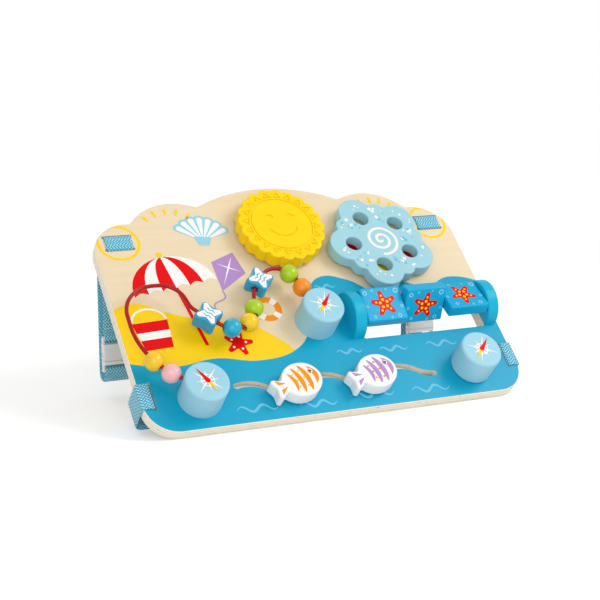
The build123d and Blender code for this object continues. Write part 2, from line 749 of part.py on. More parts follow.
def pitch_angle(number):
    """Angle between two beads that touch on a bend."""
    radius = bend(number)[2]
    return 2 * math.degrees(math.asin(BEAD_PITCH / 2 / (radius - bow(radius))))


def last_run_length():
    """Straight length from the last bend to the side of the middle knob."""
    end = after_bend(bead_bends()[-1], 0).position
    return (Vector(end.X, end.Y) - middle_knob_place()).length - KNOB_RADIUS


def round_bead_places():
    """Place of each round bead: trains of touching beads on the bends and runs of the wire."""
    first, valley, last = bead_bends()
    pink = math.degrees((BEAD_RADIUS + BEAD_REST_GAP) / bend(first)[2])
    second_yellow = abs(bend(valley)[4]) - angle_before_end(valley, GREEN_BEAD_LEAD)
    orange_lead = last_run_length() - BEAD_RADIUS - BEAD_REST_GAP
    second_green = abs(bend(last)[4]) - angle_before_end(last, orange_lead)
    return {
        "pink_bead": on_bend(first, pink),
        "left_yellow_bead": on_bend(first, pink + pitch_angle(first)),
        "turquoise_bead": on_bend(valley, second_yellow - pitch_angle(valley)),
        "right_yellow_bead": on_bend(valley, second_yellow),
        "lower_green_bead": after_bend(valley, GREEN_BEAD_LEAD),
        "upper_green_bead": on_bend(last, second_green),
        "orange_bead": after_bend(last, orange_lead),
    }


def round_bead(place):
    """Wooden ball bored through along the wire."""
    ball = Sphere(BEAD_RADIUS) - Rot(Y=90) * Cylinder(bead_bore(), 2 * BEAD_RADIUS + OVERRUN)
    return place * ball


def clear_of_bead(start, run, bead):
    """Distance along a run at which a star is clear of the round bead after it."""
    ahead = Vector(bead.position.X, bead.position.Y) - start
    along = ahead.dot(run.normalized())
    reach = BEAD_RADIUS + STAR_RADIUS * math.cos(math.radians(180 / STAR_POINTS)) + STAR_BEAD_GAP
    return along - math.sqrt(reach ** 2 - ahead.length ** 2 + along ** 2)


def star_places():
    """Place of each star bead on its straight run."""
    corners = wire_corners()
    places = {}
    for name, number in (("lower_star_bead", 4), ("upper_star_bead", 6)):
        run = corners[number + 1] - corners[number]
        distance = UPPER_STAR_SHARE * run.length
        if name == "lower_star_bead":
            distance = clear_of_bead(corners[number], run, round_bead_places()["turquoise_bead"])
        point = corners[number] + run.normalized() * distance
        heading = math.degrees(math.atan2(run.Y, run.X))
        places[name] = Pos(point.X, point.Y, hanging_height(STAR_BORE_RADIUS)) * Rot(Z=heading)
    return places


def star_bead(place):
    """Soft four-pointed bead, bored from valley to valley."""
    step = 360 / STAR_POINTS
    points = []
    for index in range(STAR_POINTS):
        points.append(polar(STAR_VALLEY_RADIUS, step * index))
        points.append(polar(STAR_RADIUS, step * (index + 0.5)))
    face = make_face(Polyline(*points, close=True))
    tips = [nearest_vertex(face, point) for point in points[1::2]]
    valleys = [nearest_vertex(face, point) for point in points[0::2]]
    face = fillet(tips, STAR_TIP_RADIUS)
    face = fillet([nearest_vertex(face, Vector(corner)) for corner in valleys], STAR_VALLEY_FILLET)
    block = extrude(Plane.XY.offset(-STAR_THICKNESS / 2) * face, amount=STAR_THICKNESS)
    block = fillet(flat_edges(block), STAR_EDGE_RADIUS)
    block -= Rot(Y=90) * Cylinder(STAR_BORE_RADIUS, 2 * STAR_RADIUS)
    return place * block


# Straps and buckles


def webbing(points, radii, plane, offset):
    """Flat strap of the webbing's width along a route in a plane, centred on an offset."""
    route = plane.offset(offset) * FilletPolyline(*points, radius=radii)
    start = Plane(origin=route @ 0, x_dir=plane.z_dir, z_dir=route % 0)
    return sweep(start * Rectangle(WEBBING_WIDTH, WEBBING_THICKNESS), path=route)


def buckle_length():
    """Length between the outer faces of a closed buckle's two bars."""
    return BUCKLE_SOCKET_LENGTH + BUCKLE_COLLAR_LENGTH + 2 * BUCKLE_BAR_LENGTH + SEAT_GAP


def upper_loop_bottom():
    """Height of the lowest strand of an upper strap, from the front lower edge."""
    return floor_height() + UPPER_LOOP_CLEARANCE + WEBBING_THICKNESS / 2


def upper_strand_depths():
    """Distances back of the two hanging strands of an upper strap, clear of the lower slit's rear edge."""
    v = LOWER_SLIT_SHARES[1] * BOARD_HEIGHT
    slit_back = v * math.cos(math.radians(TILT)) - BACK * math.sin(math.radians(TILT))
    front = slit_back + UPPER_STRAND_CLEARANCE
    return front, front + UPPER_STRAND_SPREAD


def upper_buckle_span():
    """Heights of the lower and upper end of an upper strap's buckle."""
    low = upper_loop_bottom() + UPPER_STRAND_SPREAD / 2 + BUCKLE_BAR_WIDTH
    return low, low + buckle_length()


def behind_slit(shares, depth):
    """Board's (v, n) where the line straight back through a slit reaches a depth in the room."""
    v = shares[1] * BOARD_HEIGHT
    back = v * math.cos(math.radians(TILT))
    return (v, (back - depth) / math.sin(math.radians(TILT)))


def upper_strap(side):
    """Loop through the two upper slits, hanging straight down behind the board to its buckle."""
    front, rear = upper_strand_depths()
    bottom = upper_loop_bottom()
    low, high = upper_buckle_span()
    points = [
        from_room(front, high + SEAT_GAP),
        behind_slit(LOWER_SLIT_SHARES, front),
        (LOWER_SLIT_SHARES[1] * BOARD_HEIGHT, WEBBING_LIFT),
        (UPPER_SLIT_SHARES[1] * BOARD_HEIGHT, WEBBING_LIFT),
        behind_slit(UPPER_SLIT_SHARES, rear),
        from_room(rear, bottom),
        from_room(front, bottom),
        from_room(front, low - SEAT_GAP),
    ]
    loop = (rear - front) / 2 - GLUE_GAP
    radii = [loop, WEBBING_TURN_RADIUS, WEBBING_TURN_RADIUS, loop, loop, loop]
    return webbing(points, radii, Plane.YZ, side * UPPER_SLIT_SHARES[0] * HALF)


def side_buckle_span():
    """Distances from the middle of the board to the two ends of a side strap's buckle."""
    turn = (SIDE_STRAND_DEPTHS[1] - SIDE_STRAND_DEPTHS[0]) / 2
    inner = HALF - SIDE_LOOP_REACH + turn + BUCKLE_BAR_WIDTH
    return inner, inner + buckle_length()


def side_strap(side):
    """Loop through a side slit and round the board's edge, lying behind the board to its buckle."""
    slit = SIDE_SLIT_SHARES[0] * HALF
    edge = HALF + WEBBING_LIFT
    front, rear = (BACK - depth for depth in SIDE_STRAND_DEPTHS)
    inner_turn = HALF - SIDE_LOOP_REACH
    inner, outer = side_buckle_span()
    route = [(outer + SEAT_GAP, front), (slit, front), (slit, WEBBING_LIFT), (edge, WEBBING_LIFT),
             (edge, rear), (inner_turn, rear), (inner_turn, front), (inner - SEAT_GAP, front)]
    points = [(side * u, n) for u, n in route]
    loop = (front - rear) / 2 - GLUE_GAP
    radii = [WEBBING_TURN_RADIUS, WEBBING_TURN_RADIUS, WEBBING_TURN_RADIUS, loop, loop, loop]
    return webbing(points, radii, Plane.XZ, -SIDE_SLIT_SHARES[1] * BOARD_HEIGHT)


def web_frame(start):
    """Frame with the bar that webbing turns round, lying along X from a start."""
    outline = Pos(start + BUCKLE_BAR_LENGTH / 2, 0) * Rectangle(BUCKLE_BAR_LENGTH, BUCKLE_WIDTH)
    gap = BUCKLE_BAR_LENGTH - BUCKLE_BAR_WIDTH
    hole_width = WEBBING_WIDTH + 2 * SEAT_GAP
    outline -= Pos(start + gap / 2, 0) * Rectangle(gap, hole_width)
    return extrude(outline, amount=BUCKLE_BAR_THICKNESS / 2, both=True)


def buckle_socket():
    """Hollow half of a side-release buckle: mouth at the origin, bar along X."""
    body = Pos(BUCKLE_SOCKET_LENGTH / 2, 0) * Box(BUCKLE_SOCKET_LENGTH, BUCKLE_WIDTH, BUCKLE_THICKNESS)
    body = fillet(body.edges().filter_by(Axis.X), BUCKLE_EDGE_RADIUS)
    mouth_width = BUCKLE_WIDTH - 2 * BUCKLE_WALL
    mouth_height = BUCKLE_THICKNESS - 2 * BUCKLE_WALL
    mouth = Box(2 * BUCKLE_MOUTH_DEPTH, mouth_width, mouth_height)
    start, length = (share * BUCKLE_SOCKET_LENGTH for share in BUCKLE_WINDOW_SHARES)
    window = Pos(start, 0) * Box(length, BUCKLE_WIDTH + 2 * OVERRUN, mouth_height)
    return body - mouth - window + web_frame(BUCKLE_SOCKET_LENGTH)


def buckle_plug():
    """Pronged half of a side-release buckle: collar at the socket's mouth, bar along negative X."""
    height = BUCKLE_THICKNESS - 2 * BUCKLE_WALL - 2 * SEAT_GAP
    collar_start = -SEAT_GAP - BUCKLE_COLLAR_LENGTH
    plug = Pos(collar_start + BUCKLE_COLLAR_LENGTH / 2, 0) * Box(
        BUCKLE_COLLAR_LENGTH, BUCKLE_WIDTH, BUCKLE_THICKNESS)
    plug = fillet(plug.edges().filter_by(Axis.X), BUCKLE_EDGE_RADIUS)
    reach = BUCKLE_PRONG_LENGTH + SEAT_GAP
    prong_place = BUCKLE_WIDTH / 2 - BUCKLE_WALL - SEAT_GAP - BUCKLE_PRONG_WIDTH / 2
    for side in (-1, 1):
        prong = Box(reach, BUCKLE_PRONG_WIDTH, height)
        plug += Pos(reach / 2 - SEAT_GAP, side * prong_place) * prong
    plug += Pos(reach / 2 - SEAT_GAP, 0) * Box(reach, BUCKLE_TONGUE_WIDTH, height)
    return plug + Rot(Z=180) * web_frame(-collar_start)


def upper_buckle_place(side):
    """Mouth of an upper strap's buckle, its X axis pointing straight up in the room."""
    low = upper_buckle_span()[0]
    mouth = low + BUCKLE_BAR_LENGTH + BUCKLE_COLLAR_LENGTH + SEAT_GAP
    v, n = from_room(upper_strand_depths()[0], mouth)
    up_v, up_n = from_room(0, 1)
    u = side * UPPER_SLIT_SHARES[0] * HALF
    back_v, back_n = from_room(-1, 0)
    return Plane(origin=(u, v, n), x_dir=(0, up_v, up_n), z_dir=(0, back_v, back_n)).location


def side_buckle_place(side):
    """Mouth of a side strap's buckle, its X axis pointing out to the board's edge."""
    inner = side_buckle_span()[0]
    mouth = inner + BUCKLE_BAR_LENGTH + BUCKLE_COLLAR_LENGTH + SEAT_GAP
    origin = (side * mouth, SIDE_SLIT_SHARES[1] * BOARD_HEIGHT, BACK - SIDE_STRAND_DEPTHS[0])
    return Plane(origin=origin, x_dir=(side, 0, 0), z_dir=(0, 0, 1)).location


# Stand


def pivot_place():
    """Leg's hinge line in the board's (v, n)."""
    return PIVOT_SHARE * BOARD_HEIGHT, BACK - PIVOT_DEPTH


def lug_centre():
    """Distance of each lug's middle from the middle of the board."""
    return LEG_WIDTH / 2 + LEG_SIDE_GAP + LUG_WIDTH / 2


def pivot_in_room():
    """Leg's hinge line as a distance back and a height from the front lower edge."""
    v, n = pivot_place()
    cosine = math.cos(math.radians(TILT))
    sine = math.sin(math.radians(TILT))
    return v * cosine - n * sine, v * sine + n * cosine


def leg_outline():
    """Side view of the leg: flat on the floor, its bevelled heel just clear of the board's back."""
    back, up = pivot_in_room()
    lean = math.radians(LEG_LEAN)
    half = LEG_THICKNESS / 2 / math.cos(lean)
    floor = floor_height()
    foot = back + (up - floor) * math.tan(lean)
    heel = BACK - SEAT_GAP
    points = [from_room(foot + way * half, floor) for way in (-1, 1)]
    direction = Vector(*from_room(-math.sin(lean), math.cos(lean)))
    ends = []
    for v, n in points:
        length = (heel - n) / direction.Y
        ends.append((v + length * direction.X, heel))
    return make_face(Polyline(points[0], points[1], ends[1], ends[0], close=True))


def stand_leg():
    """Plywood leg, bored at its sides for the pins."""
    leg = extrude(Plane.YZ * leg_outline(), amount=LEG_WIDTH / 2, both=True)
    side_edges = leg.edges().filter_by(lambda edge: abs(edge.center().X) > LEG_WIDTH / 2 - GLUE_GAP)
    foot_corners = sorted(side_edges, key=lambda edge: room_height(edge.center()))[:2]
    leg = fillet(foot_corners, LEG_EDGE_RADIUS)
    for side in (-1, 1):
        leg -= pin_form(side, RUNNING_GAP)
    return leg


def room_height(point):
    """Height of a board point from the front lower edge."""
    return point.Y * math.sin(math.radians(TILT)) + point.Z * math.cos(math.radians(TILT))


def pin_form(side, growth=0.0):
    """Pivot pin through a lug into the leg's side, or its bore when grown."""
    v, n = pivot_place()
    outer = lug_centre() + LUG_WIDTH / 2
    inner = LEG_WIDTH / 2 - PIVOT_PIN_DEPTH - growth
    section = Plane.YZ.offset(side * inner) * Pos(v, n) * Circle(PIVOT_PIN_RADIUS + growth)
    return extrude(section, amount=side * (outer - inner))


def stand_lug(side):
    """Rounded lug glued into the back of the board by its tenon."""
    v, n = pivot_place()
    base = Pos(v, BACK - LUG_BASE_HEIGHT / 2) * Rectangle(LUG_BASE_LENGTH, LUG_BASE_HEIGHT)
    outline = make_hull(base.edges() + (Pos(v, n) * Circle(LUG_ROUND_RADIUS)).edges())
    start = side * lug_centre() - LUG_WIDTH / 2
    lug = extrude(Plane.YZ.offset(start) * outline, amount=LUG_WIDTH)
    return lug + tenon_form(side) - pin_form(side, GLUE_GAP)


# Assembly


def nodes():
    """Every named piece, flat on the board."""
    corners = wire_corners()
    made = {"board": board()}
    for name, place, height, wheel in (
            ("sun", sun_place(), WHEEL_STANDOFF, sun_wheel()),
            ("splash", splash_place(), WHEEL_STANDOFF, splash_wheel()),
            ("compass", spot(RIGHT_KNOB_SHARES), DIAL_STANDOFF, compass_knob())):
        made["compass_knob" if name == "compass" else name + "_wheel"] = wheel
        made[name + "_axle"] = axle_between(place, height)
        made[name + "_keeper"] = keeper(place)
        made[name + "_spacer"] = spacer(place, height)
    made["left_anchor_knob"] = anchor_knob(spot(LEFT_KNOB_SHARES), corners[1])
    made["middle_anchor_knob"] = anchor_knob(middle_knob_place(), corners[-2])
    made["anchor_screws"] = Compound([screw_form(place).solid() for place in anchor_screw_places()])
    made["left_bracket"] = finished_bracket("left")
    made["right_bracket"] = finished_bracket("right")
    made["bracket_screws"] = Compound([screw_form(place).solid() for place in bracket_screw_places()])
    made["tablet_axle"] = tablet_axle()
    for index, name in enumerate(("left_tablet", "middle_tablet", "right_tablet")):
        made[name] = tablet(index)
    for name, trough in zip(("left_fish", "right_fish"), FISH_TROUGHS):
        made[name] = fish(trough)
        made[name + "_peg"] = fish_peg(trough)
        made[name + "_keeper"] = fish_keeper(trough)
    made["bead_wire"] = bead_wire()
    for name, place in round_bead_places().items():
        made[name] = round_bead(place)
    for name, place in star_places().items():
        made[name] = star_bead(place)
    for word, side in (("left", -1), ("right", 1)):
        made["upper_" + word + "_strap"] = upper_strap(side)
        made["lower_" + word + "_strap"] = side_strap(side)
        for level, place in (("upper_", upper_buckle_place(side)), ("lower_", side_buckle_place(side))):
            made[level + word + "_buckle_socket"] = place * buckle_socket()
            made[level + word + "_buckle_plug"] = place * buckle_plug()
    made["stand_lugs"] = Compound([stand_lug(side).solid() for side in (-1, 1)])
    made["stand_pins"] = Compound([pin_form(side).solid() for side in (-1, 1)])
    made["stand_leg"] = stand_leg()
    return made


def stance(made):
    """Lean of the toy and the shift that puts its origin on the floor, under the middle of its box."""
    lean = Rot(X=TILT)
    box = Compound([lean * solid for shape in made.values() for solid in shape.solids()]).bounding_box()
    return Pos(-box.center().X, -box.center().Y, -box.min.Z) * lean


def main():
    """Lean every piece and write it to its own file."""
    made = nodes()
    placing = stance(made)
    os.makedirs("parts", exist_ok=True)
    for name, shape in made.items():
        export_step(placing * shape, "parts/" + name + ".step")
    return made, placing


if __name__ == "__main__":
    main()
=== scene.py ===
# %% [markdown]
# # A wooden seaside activity board
# The solids of the toy come from its CAD model and stay where they are. This lesson dresses them:
# birch plywood with a printed seaside, glossy paint on turned wood, woven straps and milky buckles.

# %% Load the solids
import math
import bmesh
import bpy
from mathutils import Matrix, Vector


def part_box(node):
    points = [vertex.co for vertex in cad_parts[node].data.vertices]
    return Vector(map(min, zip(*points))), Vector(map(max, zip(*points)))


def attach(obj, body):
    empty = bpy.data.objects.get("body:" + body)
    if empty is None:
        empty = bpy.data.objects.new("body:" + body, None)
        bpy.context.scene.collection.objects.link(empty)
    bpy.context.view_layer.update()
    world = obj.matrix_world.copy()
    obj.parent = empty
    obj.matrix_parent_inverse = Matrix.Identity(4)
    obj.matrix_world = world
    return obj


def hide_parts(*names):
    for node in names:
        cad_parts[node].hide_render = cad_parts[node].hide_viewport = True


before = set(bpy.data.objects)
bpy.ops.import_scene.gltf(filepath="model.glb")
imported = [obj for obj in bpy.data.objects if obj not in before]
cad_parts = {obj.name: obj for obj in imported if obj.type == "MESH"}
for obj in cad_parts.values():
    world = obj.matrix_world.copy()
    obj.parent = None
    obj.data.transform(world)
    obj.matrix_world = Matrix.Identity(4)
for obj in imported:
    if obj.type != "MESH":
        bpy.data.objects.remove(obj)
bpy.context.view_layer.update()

# %% [markdown]
# ## The board's own axes
# Everything on the toy sits square to a leaning board. Each print could be turned by hand in the room's
# axes, but one matrix for all of them is safer. It leans a flat layout back, where u runs to the right,
# v up the board and n out of its face, in millimetres. Only the lean is given: the board's foot, its
# sizes and the places of its toys are measured on the solids.

# %% Board axes
MM = 0.001
LEAN = math.radians(42.6)
LEANED = Matrix.Rotation(LEAN, 4, "X")


def extent(node, axes):
    """Lowest and highest corner of a CAD node along the axes of a matrix, in metres."""
    inverse = axes.inverted()
    points = [inverse @ vertex.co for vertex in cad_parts[node].data.vertices]
    return [Vector(pick(values) for values in zip(*points)) for pick in (min, max)]


board_low, board_high = extent("board", LEANED)
FOOT = LEANED @ Vector((0.0, board_low.y, board_high.z))
STANCE = Matrix.Translation(FOOT) @ LEANED
PLY_THICKNESS = board_high.z - board_low.z
BOARD_HALF_WIDTH = board_high.x / MM
BOARD_HEIGHT = (board_high.y - board_low.y) / MM


def at(u, v, n=0.0, turn=0.0):
    """Matrix of a spot on the board, in millimetres, turned about the board's normal."""
    return STANCE @ Matrix.Translation(Vector((u, v, n)) * MM) @ Matrix.Rotation(turn, 4, "Z")


def middle(node):
    """Middle of a CAD node as (u, v, n), in millimetres."""
    low, high = extent(node, STANCE)
    return (low + high) / 2 / MM


def top(node):
    """Height of a CAD node's top above the board's face, in millimetres."""
    return extent(node, STANCE)[1].z / MM


def shade(red, green, blue):
    """Linear colour from the 0 to 255 numbers of a colour chart."""
    def linear(level):
        part = level / 255
        return part / 12.92 if part < 0.04 else ((part + 0.055) / 1.055) ** 2.4
    return (linear(red), linear(green), linear(blue), 1.0)


print("board", [round(size, 1) for size in (2 * BOARD_HALF_WIDTH, BOARD_HEIGHT, PLY_THICKNESS / MM)], "mm")

# %% [markdown]
# ## Camera
# The camera stands where the photograph was taken: low, to the left of the toy, with a long lens. It
# could track the toy, but plain numbers for its place and turn keep the photograph's own framing.

# %% Camera
CAMERA_PLACE = (-0.5506, -1.1332, 0.3351)
CAMERA_AZIMUTH = math.radians(-25.65)
CAMERA_ELEVATION = math.radians(10.95)
CAMERA_LENS = 81.5
CAMERA_SENSOR = 36.0


def added(name, data):
    """New object in the scene."""
    made = bpy.data.objects.new(name, data)
    bpy.context.scene.collection.objects.link(made)
    return made


def aimed(thing, direction):
    """Turn a camera or a lamp so that it looks along a direction."""
    thing.rotation_mode = "QUATERNION"
    thing.rotation_quaternion = direction.to_track_quat("-Z", "Y")


camera_data = bpy.data.cameras.new("photo_camera")
camera_data.lens = CAMERA_LENS
camera_data.sensor_width = CAMERA_SENSOR
camera = added("photo_camera", camera_data)
camera.location = CAMERA_PLACE
aimed(camera, Vector((
    -math.sin(CAMERA_AZIMUTH) * math.cos(CAMERA_ELEVATION),
    math.cos(CAMERA_AZIMUTH) * math.cos(CAMERA_ELEVATION),
    -math.sin(CAMERA_ELEVATION))))
bpy.context.scene.camera = camera
bpy.context.scene.view_settings.view_transform = "Standard"
print("camera", [round(v, 3) for v in camera.location])

# %% [markdown]
# ## Helpers for node trees
# Materials and Geometry Nodes are both trees of nodes. They could be drawn by hand in the editor, but a
# script can be read and run again, so a few short functions add a node and feed its sockets.

# %% Node helpers


def put(tree, kind, inputs=None, **settings):
    """Add a node; inputs are values or the sockets that feed them."""
    made = tree.nodes.new(kind)
    for key, value in settings.items():
        setattr(made, key, value)
    for key, value in (inputs or {}).items():
        if isinstance(value, bpy.types.NodeSocket):
            tree.links.new(value, made.inputs[key])
        else:
            made.inputs[key].default_value = value
    return made


def maths(tree, operation, *values, clamp=False):
    """Output of a Math node."""
    inputs = dict(enumerate(values))
    return put(tree, "ShaderNodeMath", inputs, operation=operation, use_clamp=clamp).outputs[0]


def vector_maths(tree, operation, *values):
    """Outputs of a Vector Math node: a vector and a value."""
    return put(tree, "ShaderNodeVectorMath", dict(enumerate(values)), operation=operation).outputs


def vector(tree, **parts):
    """Vector from its parts X, Y and Z."""
    return put(tree, "ShaderNodeCombineXYZ", parts).outputs[0]


def mixed(tree, factor, first, second):
    """Colour between two colours."""
    return put(tree, "ShaderNodeMix", {0: factor, 6: first, 7: second}, data_type="RGBA").outputs[2]


def noise(tree, place, scale, detail):
    """Outputs of a noise texture: a value and a colour."""
    return put(tree, "ShaderNodeTexNoise", {"Vector": place, "Scale": scale, "Detail": detail}).outputs


def own_place(tree, kind="Object"):
    """Coordinates on the piece, in metres."""
    return put(tree, "ShaderNodeTexCoord").outputs[kind]


def bumped(tree, height, strength, distance):
    """Normal from a height."""
    inputs = {"Height": height, "Strength": strength, "Distance": distance}
    return put(tree, "ShaderNodeBump", inputs).outputs[0]


def blank_material(name):
    """Material with an empty tree."""
    made = bpy.data.materials.new(name)
    made.use_nodes = True
    made.node_tree.nodes.clear()
    return made, made.node_tree


def surfaced(made, inputs):
    """Finish a material with a Principled surface."""
    surface = put(made.node_tree, "ShaderNodeBsdfPrincipled", inputs).outputs[0]
    put(made.node_tree, "ShaderNodeOutputMaterial", {"Surface": surface})
    return made


def node_group(name, kind, inputs, outputs):
    """Empty node group with named sockets; returns it with the sockets inside.

    A number is a socket's first value, and a word is a kind of socket that has none."""
    made = bpy.data.node_groups.new(name, kind)
    for way, wanted in (("INPUT", inputs), ("OUTPUT", outputs)):
        for title, start in wanted.items():
            word = start if isinstance(start, str) else type(start).__name__.capitalize()
            socket = made.interface.new_socket(title, in_out=way, socket_type="NodeSocket" + word)
            if not isinstance(start, str):
                socket.default_value = start
    return made, made.nodes.new("NodeGroupInput").outputs, made.nodes.new("NodeGroupOutput").inputs


def use(tree, group, inputs):
    """Place a shader node group in a tree."""
    return put(tree, "ShaderNodeGroup", inputs, node_tree=group).outputs


# %% [markdown]
# ## Floor and light
# The toy stands on pale paper. A brighter lamp would bleach its colours, so the paper glows a little, but
# only for rays that show the background, and fades to white farther out. The floor keeps the shadow. A
# large soft lamp at the right makes shadows fall left, and two more fill the front and the back.

# %% Floor, world and lamps
FLOOR_HALF = 6.0
FLOOR_GREY = (0.86, 0.86, 0.86, 1.0)
FLOOR_GLOW = 0.3
FLOOR_FADE = (0.35, 1.1)
WORLD_TINT = (0.98, 0.98, 0.97, 1.0)
WORLD_STRENGTH = 0.62
PAPER_WHITE = (1.0, 1.0, 1.0, 1.0)
LAMP_AIM = Vector((0.0, 0.0, 0.08))
LAMPS = (
    ("key_lamp", (0.95, -0.75, 1.15), 0.7, 9.6),
    ("front_lamp", (-0.75, -1.5, 0.5), 1.2, 9.4),
    ("rim_lamp", (-0.2, 1.3, 1.2), 1.0, 4.0),
)


def seen_rays(tree):
    """1 for rays that show the background: from the camera, off a mirror or through glass."""
    rays = put(tree, "ShaderNodeLightPath").outputs
    seen = maths(tree, "MAXIMUM", rays["Is Camera Ray"], rays["Is Glossy Ray"])
    return maths(tree, "MAXIMUM", seen, rays["Is Transmission Ray"])


def pale_floor():
    """Matt paper with a glow that takes over away from the toy."""
    made, tree = blank_material("pale_floor")
    seen = seen_rays(tree)
    matt = put(tree, "ShaderNodeBsdfDiffuse", {"Color": FLOOR_GREY}).outputs[0]
    glow = put(tree, "ShaderNodeEmission", {"Strength": maths(tree, "MULTIPLY", seen, FLOOR_GLOW)})
    near = put(tree, "ShaderNodeAddShader", {0: matt, 1: glow.outputs[0]}).outputs[0]
    away = vector_maths(tree, "LENGTH", own_place(tree))["Value"]
    fade = put(tree, "ShaderNodeMapRange", {
        "Value": away, "From Min": FLOOR_FADE[0], "From Max": FLOOR_FADE[1]},
        interpolation_type="SMOOTHSTEP").outputs[0]
    paper = put(tree, "ShaderNodeEmission", {"Color": PAPER_WHITE, "Strength": 1.0}).outputs[0]
    whole = put(tree, "ShaderNodeMixShader", {0: maths(tree, "MULTIPLY", fade, seen), 1: near, 2: paper})
    put(tree, "ShaderNodeOutputMaterial", {"Surface": whole.outputs[0]})
    return made


floor_mesh = bpy.data.meshes.new("floor")
corners = [(x * FLOOR_HALF, y * FLOOR_HALF, 0.0) for x, y in ((-1, -1), (1, -1), (1, 1), (-1, 1))]
floor_mesh.from_pydata(corners, [], [(0, 1, 2, 3)])
floor_mesh.materials.append(pale_floor())
floor = added("floor", floor_mesh)

world = bpy.data.worlds.new("studio")
bpy.context.scene.world = world
world.use_nodes = True
tree = world.node_tree
tree.nodes.clear()
soft = put(tree, "ShaderNodeBackground", {"Color": WORLD_TINT, "Strength": WORLD_STRENGTH}).outputs[0]
white = put(tree, "ShaderNodeBackground", {"Color": PAPER_WHITE, "Strength": 1.0}).outputs[0]
sky = put(tree, "ShaderNodeMixShader", {0: seen_rays(tree), 1: soft, 2: white}).outputs[0]
put(tree, "ShaderNodeOutputWorld", {"Surface": sky})

for name, place, size, power in LAMPS:
    data = bpy.data.lights.new(name, "AREA")
    data.size = size
    data.energy = power
    lamp = added(name, data)
    lamp.location = place
    aimed(lamp, LAMP_AIM - Vector(place))
print("lamps", len(LAMPS))

# %% [markdown]
# ## Shared effects
# Two effects come back in many finishes, so each is one node group. Timber grain gives the long streaks
# and short pores of birch and beech. Sprayed coat gives the faint unevenness and orange peel of lacquer
# on wood. Both are noise, because a picture of wood would repeat and would have to be stored.

# %% Effect groups
GRAIN_STRETCH = (0.05, 1.0, 1.0)
GRAIN_WANDER = (0.0, 0.012, 0.012)
WANDER_SCALE = 9.0
STREAK_SHARE = 0.8
PORE_LEVEL = 0.56
PORE_GAIN = 2.2
CLOUD_SCALE = 38.0
CLOUD_LEVEL = 0.5
PEEL_SCALE = 520.0
COAT_ROUGHNESS = 0.32
COAT_ROUGHNESS_SPREAD = 0.16


def timber_grain():
    """Streaks along X, with short darker pores."""
    group, given, result = node_group(
        "timber_grain", "ShaderNodeTree", {"Vector": "Vector", "Streaks": 160.0, "Pores": 900.0},
        {"Grain": "Float", "Height": "Float"})
    stretched = vector_maths(group, "MULTIPLY", given["Vector"], GRAIN_STRETCH)[0]
    bent = noise(group, given["Vector"], WANDER_SCALE, detail=1.0)["Color"]
    wander = vector_maths(group, "MULTIPLY", bent, GRAIN_WANDER)[0]
    path = vector_maths(group, "ADD", stretched, wander)[0]
    streaks = noise(group, path, given["Streaks"], detail=4.0)[0]
    pores = noise(group, stretched, given["Pores"], detail=2.0)[0]
    dark = maths(group, "SUBTRACT", pores, PORE_LEVEL, clamp=True)
    dark = maths(group, "MULTIPLY", dark, PORE_GAIN, clamp=True)
    grain = maths(group, "ADD", maths(group, "MULTIPLY", streaks, STREAK_SHARE), dark)
    group.links.new(grain, result["Grain"])
    group.links.new(maths(group, "SUBTRACT", 1.0, grain), result["Height"])
    return group


def sprayed_coat():
    """Uneven depth of a sprayed coat, and its orange peel."""
    group, given, result = node_group(
        "sprayed_coat", "ShaderNodeTree", {"Vector": "Vector", "Colour": "Color", "Depth": 0.12},
        {"Colour": "Color", "Height": "Float", "Roughness": "Float"})
    clouds = noise(group, given["Vector"], CLOUD_SCALE, detail=3.0)[0]
    peel = noise(group, given["Vector"], PEEL_SCALE, detail=2.0)[0]
    uneven = maths(group, "MULTIPLY", maths(group, "SUBTRACT", clouds, CLOUD_LEVEL), given["Depth"])
    tint = put(group, "ShaderNodeHueSaturation", {
        "Value": maths(group, "ADD", 1.0, uneven), "Color": given["Colour"]})
    spread = maths(group, "MULTIPLY", clouds, COAT_ROUGHNESS_SPREAD)
    group.links.new(tint.outputs[0], result["Colour"])
    group.links.new(peel, result["Height"])
    group.links.new(maths(group, "ADD", COAT_ROUGHNESS, spread), result["Roughness"])
    return group


GRAIN = timber_grain()
COAT = sprayed_coat()


def flat_vector(tree):
    """Object coordinates turned back into the board's flat layout, in metres."""
    return put(tree, "ShaderNodeMapping", {
        "Vector": own_place(tree), "Rotation": (-LEAN, 0.0, 0.0),
        "Location": -(LEANED.inverted() @ FOOT)}).outputs[0]


def grained(tree, place, sizes, share, pale, dark):
    """Colour of bare wood, and the grain that it comes from."""
    grain = use(tree, GRAIN, {"Vector": place, **sizes})
    strength = maths(tree, "MULTIPLY", grain["Grain"], share, clamp=True)
    return mixed(tree, strength, pale, dark), grain


def coated(name, colour, depth, peel, looks):
    """Material under a sprayed coat; peel is the strength and the height of its orange peel."""
    made, tree = blank_material(name)
    coat = use(tree, COAT, {"Vector": own_place(tree), "Colour": colour, "Depth": depth})
    return surfaced(made, {
        "Base Color": coat["Colour"], "Roughness": coat["Roughness"],
        "Normal": bumped(tree, coat["Height"], *peel), **looks})


def dressed(nodes, finish):
    """Give CAD nodes a finish."""
    for name in nodes:
        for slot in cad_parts[name].material_slots:
            slot.material = finish


print("effects", [group.name for group in (GRAIN, COAT)])

# %% [markdown]
# ## Plywood and its printed seaside
# The board is birch plywood: a pale veneer on both faces and seven layers along every cut edge. The sea,
# the sand and the rings round the strap slits are printed on the front face. They could be thin meshes,
# but then every opening would have to be cut out of them. As masks in the plywood's own material they
# stop at every opening, as ink does, because the walls lie below the face.

